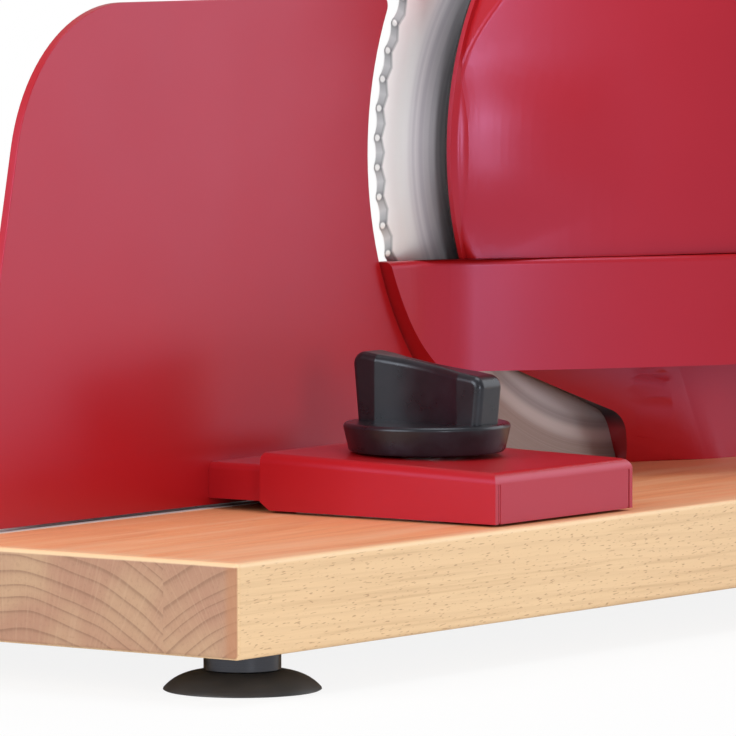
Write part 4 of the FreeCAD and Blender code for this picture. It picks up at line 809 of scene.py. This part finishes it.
def blade_tree():
    """Rolls a flat grid into a disc: its columns go round, its rows out and back."""
    counts = ("Waves", "Steps in a wave", "Rows")
    sizes = ("Radius", "Bevel start", "Thickness", "Edge thickness", "Wave depth",
             "Wheel radius", "Wheel slope", "Tooth zone", "Centre X", "Centre Y", "Centre Z")
    tree, given = new_shape_tree("wave-toothed disc", (
        ("Seed", "Geometry"), *((name, "Int") for name in counts),
        *((name, "Float") for name in sizes), ("Finish", "Material")))
    flat_rows, bevel_rows, tooth_rows = 0.3, 0.45, 0.25

    def m(operation, *values):
        """maths() in this tree"""
        return maths(tree, operation, *values)

    columns = m("MULTIPLY", given["Waves"], given["Steps in a wave"])
    grid = add(tree, "GeometryNodeMeshGrid", {
        "Size X": 1.0, "Size Y": 1.0, "Vertices X": m("ADD", columns, 1.0),
        "Vertices Y": given["Rows"]})
    flat = add(tree, "GeometryNodeInputPosition").outputs[0]
    flat = add(tree, "ShaderNodeSeparateXYZ", {0: flat}).outputs
    round_share = m("ADD", flat[0], 0.5)
    row_share = m("ADD", flat[1], 0.5)
    angle = m("MULTIPLY", round_share, 2 * math.pi)

    # the wheel's bite across one wave, and the disc's edge that it leaves
    in_wave = m("FRACT", m("ADD", m("MULTIPLY", round_share, given["Waves"]), 0.5))
    in_wave = m("SUBTRACT", in_wave, 0.5)
    wave_width = m("DIVIDE", m("MULTIPLY", given["Radius"], 2 * math.pi), given["Waves"])
    off_wave = m("MULTIPLY", in_wave, wave_width)
    wheel_height = m("SQRT", m("SUBTRACT", m("POWER", given["Wheel radius"], 2.0),
                               m("POWER", off_wave, 2.0)))
    bite = m("SUBTRACT", given["Wheel radius"], wheel_height)
    slope_sine = m("SINE", given["Wheel slope"])
    foot = m("SUBTRACT", given["Radius"], given["Wave depth"])
    edge = m("MINIMUM", given["Radius"], m("ADD", foot, m("DIVIDE", bite, slope_sine)))

    # how far out each row lies: over the flat, the bevel and the teeth
    outward = m("SUBTRACT", m("MULTIPLY", row_share, 2.0), 1.0)
    outward = m("SUBTRACT", 1.0, m("ABSOLUTE", outward))
    tooth_root = m("SUBTRACT", given["Radius"], given["Tooth zone"])
    flat_part = m("MULTIPLY", m("MINIMUM", m("DIVIDE", outward, flat_rows), 1.0),
                  given["Bevel start"])
    bevel_share = m("DIVIDE", m("SUBTRACT", outward, flat_rows), bevel_rows)
    bevel_share = m("MINIMUM", m("MAXIMUM", bevel_share, 0.0), 1.0)
    bevel_part = m("MULTIPLY", bevel_share, m("SUBTRACT", tooth_root, given["Bevel start"]))
    tooth_share = m("DIVIDE", m("SUBTRACT", outward, flat_rows + bevel_rows), tooth_rows)
    tooth_part = m("MULTIPLY", m("MAXIMUM", tooth_share, 0.0), m("SUBTRACT", edge, tooth_root))
    reach = m("ADD", m("ADD", flat_part, bevel_part), tooth_part)

    # thickness there: the bevel's or what the wheel leaves, whichever is less
    thinning = m("DIVIDE", m("SUBTRACT", given["Thickness"], given["Edge thickness"]),
                 m("SUBTRACT", given["Radius"], given["Bevel start"]))
    past_flat = m("MAXIMUM", m("SUBTRACT", reach, given["Bevel start"]), 0.0)
    bevel = m("SUBTRACT", given["Thickness"], m("MULTIPLY", past_flat, thinning))
    ground = m("ADD", m("MULTIPLY", m("SUBTRACT", foot, reach), slope_sine), bite)
    ground = m("DIVIDE", ground, m("COSINE", given["Wheel slope"]))
    depth = m("MINIMUM", bevel, m("MAXIMUM", ground, 0.0))
    depth = m("MULTIPLY", depth, m("LESS_THAN", row_share, 0.499))

    place = combined(
        tree, m("ADD", given["Centre X"], m("MULTIPLY", reach, m("COSINE", angle))),
        m("SUBTRACT", given["Centre Y"], depth),
        m("ADD", given["Centre Z"], m("MULTIPLY", reach, m("SINE", angle))))
    rolled = add(tree, "GeometryNodeSetPosition", {"Geometry": grid.outputs[0], "Position": place})
    closed = add(tree, "GeometryNodeMergeByDistance", {
        "Geometry": rolled.outputs[0], "Distance": 0.004 * mm})
    end_shape_tree(tree, closed.outputs[0], given["Finish"])
    return tree


disc = grown("wave_blade", bpy.data.meshes.new("disc seed"), blade_tree(), {
    "Waves": waves, "Steps in a wave": 12, "Rows": 41, "Radius": blade_radius * mm,
    "Bevel start": bevel_start * mm, "Thickness": 1.6 * mm, "Edge thickness": 0.3 * mm,
    "Wave depth": 1.1 * mm, "Wheel radius": 37.6 * mm, "Wheel slope": math.radians(10.0),
    "Tooth zone": 5.4 * mm, "Centre X": blade_x * mm, "Centre Y": cut_y * mm,
    "Centre Z": blade_z * mm, "Finish": blade_steel})
made = bmesh.new()
made.from_mesh(disc)
bmesh.ops.dissolve_degenerate(made, dist=0.001 * mm, edges=made.edges)
bmesh.ops.recalc_face_normals(made, faces=made.faces)
to_mesh(made, disc)
smooth(disc, 14.0)
add_piece("wave_blade", disc, blade_steel, "cutter", "blade_steel", "blade")

# Blade screws: three small steel ones with countersunk heads, which hold the
# blade against the flange of its spindle.
blade_screw = lathe(
    "blade screw", [(0, -0.12), (3.2, -0.12), (3.4, 0.05), (2.0, 1.4), (2.0, 4.6), (0, 4.6)],
    36, depth_wise=True)
blade_screw = cross_cut(blade_screw, top=-0.12, width=0.8, reach=4.2, depth=1.0, depth_wise=True)
screw_circle = 13
blade_screw_spots = [
    (blade_x + screw_circle * math.cos(math.radians(turn)), cut_y,
     blade_z + screw_circle * math.sin(math.radians(turn)))
    for turn in (90, 210, 330)]
repeated("blade_cross_screws", blade_screw, blade_screw_spots, steel, "cutter", "steel",
         "blade_screws")

# Blade spindle, pinion, crank shaft and gear: turned and hobbed steel inside
# the case, each gear fixed by a cross pin.
dress(steel, "blade_spindle", "blade_pinion", "pinion_pin", "crank_shaft", "crank_gear",
      "crank_gear_pin", "crank_hub_pin")

# Crank arm: a forged bar, tapered from hub to eye, polished and chromed. A
# cap nut holds its hub on the shaft, and the grip's pin is set in its eye.
chrome = plain_finish(
    "bright chrome", (55.0, 4.0), (0.72, 0.73, 0.75), (0.80, 0.80, 0.82), (0.05, 0.10),
    sockets={"Metallic": 1.0})
eased_piece("chromed_crank", "crank_arm", 0.25, chrome, "crank", "chrome",
            turn=40.0, shade_turn=45.0)
dress(chrome, "crank_nut", "grip_pin", "grip_ferrule")

# Grip: a barrel turned from beech along the grain and clear lacquered, with a
# chromed ferrule at its inner end. It turns freely on its pin.
heart_x, heart_z = 112.0, 30.0
grip_beech, tree, shader = new_finish("lacquered beech")
coords, along, _, up = place_of(tree)
far = diagonal(tree, maths(tree, "SUBTRACT", along, heart_x * mm),
               maths(tree, "SUBTRACT", up, heart_z * mm))
far = maths(tree, "ADD", far, maths(tree, "MULTIPLY", grain(tree, coords, (30, 6, 30)), 9 * mm))
year = maths(tree, "FRACT", maths(tree, "MULTIPLY", far, 300.0))
fibre = grain(tree, coords, (800, 16, 800), 4.0, 0.6)
flecks = grain(tree, coords, (2200, 300, 2200), 1.0)
wood = layered(
    tree, (0.72, 0.42, 0.21),
    (mask(tree, year, 0.5, 0.95), 0.35, (0.52, 0.26, 0.11)),
    (mask(tree, fibre, 0.42, 0.85), 1.0, (0.80, 0.52, 0.28)),
    (mask(tree, flecks, 0.62, 0.70), 0.6, (0.34, 0.16, 0.07)))
feed(shader, "Base Color", wood)
feed(shader, "Roughness", maths(tree, "MULTIPLY_ADD", fibre, 0.15, 0.26))
relief(tree, shader, fibre, 0.04 * mm, 0.3)
shader.inputs["Coat Weight"].default_value = 0.5
shader.inputs["Coat Roughness"].default_value = 0.12
dress(grip_beech, "grip")

# Bread carriage: a table folded from sheet and coated in the red enamel. It
# runs along the rail on plastic glides and shoes.
eased_piece("red_carriage_table", "carriage_table", 0.4, red, "carriage", "red_lacquer")

# Push wall: red sheet bent up from its foot, which steel rivets hold to the
# carriage's table.
eased_piece("red_push_wall", "push_wall", 0.5, red, "carriage", "red_lacquer")
dress(steel, "carriage_rivets")

# Glides and shoes: plain off-white plastic runners, fixed under the table and
# fitted round the rail's rib.
dress(pale, "carriage_glides", "guide_shoes")

# Studio: a pale paper floor that keeps the shadow, white surroundings behind
# it, and four soft lamps at a plain level.
bpy.ops.mesh.primitive_plane_add(size=12.0, location=(0, 0, -0.2 * mm))
floor = bpy.context.object
floor.name = "studio_floor"
paper, tree, shader = new_finish("white paper floor")
shader.inputs["Base Color"].default_value = (0.86, 0.86, 0.86, 1)
shader.inputs["Roughness"].default_value = 0.9
camera_ray = add(tree, "ShaderNodeLightPath").outputs["Is Camera Ray"]
glow = add(tree, "ShaderNodeEmission", {"Color": (1.0, 1.0, 1.0, 1.0), "Strength": 1.0})
from_middle = add(tree, "ShaderNodeVectorMath", {0: object_coords(tree)}, operation="LENGTH")
share = mask(tree, from_middle.outputs["Value"], 0.30, 1.0)
share = maths(tree, "MULTIPLY", camera_ray, maths(tree, "MULTIPLY_ADD", share, 0.12, 0.88))
both = add(tree, "ShaderNodeMixShader", {0: share, 1: shader.outputs[0], 2: glow.outputs[0]})
tree.links.new(both.outputs[0], tree.nodes["Material Output"].inputs["Surface"])
floor.data.materials.append(paper)

world = bpy.data.worlds.new("studio")
bpy.context.scene.world = world
world.use_nodes = True
tree = world.node_tree
camera_ray = add(tree, "ShaderNodeLightPath").outputs["Is Camera Ray"]
strength = maths(tree, "MULTIPLY_ADD", camera_ray, 0.50, 0.50)
tree.links.new(strength, tree.nodes["Background"].inputs[1])
tree.nodes["Background"].inputs[0].default_value = (1.0, 1.0, 1.0, 1.0)


def softbox(name, place, aim, size, power):
    data = bpy.data.lights.new(name, "AREA")
    data.shape = "RECTANGLE"
    data.size, data.size_y = size
    data.energy = power
    lamp = bpy.data.objects.new(name, data)
    lamp.location = place
    lamp.rotation_euler = (Vector(aim) - Vector(place)).to_track_quat("-Z", "Y").to_euler()
    bpy.context.collection.objects.link(lamp)


softbox("front softbox", (-1.15, -1.95, 0.36), aim=(0.1, 0, 0.16), size=(0.42, 0.66), power=10)
softbox("right softbox", (2.1, -1.21, 0.8), aim=(0, 0, 0.08), size=(1.7, 1.9), power=18)
softbox("left softbox", (-2.2, 0.45, 1.0), aim=(0, 0, 0.08), size=(1.4, 1.2), power=30)
softbox("top softbox", (0.1, -0.40, 2.4), aim=(0, 0, 0), size=(1.2, 1.2), power=18)

# Camera: a long lens from the stop plate's end of the machine, about four
# degrees above the board.
camera = bpy.data.objects.new("camera", bpy.data.cameras.new("camera"))
camera.data.lens = 366.83
camera.data.sensor_width = 36.0
camera.data.clip_end = 50.0
camera.location = (-1.719772, -1.213823, 0.220296)
camera.rotation_euler = (math.radians(86.005), math.radians(0.053), math.radians(-53.849))
bpy.context.collection.objects.link(camera)
bpy.context.scene.camera = camera
bpy.context.scene.view_settings.view_transform = "Standard"
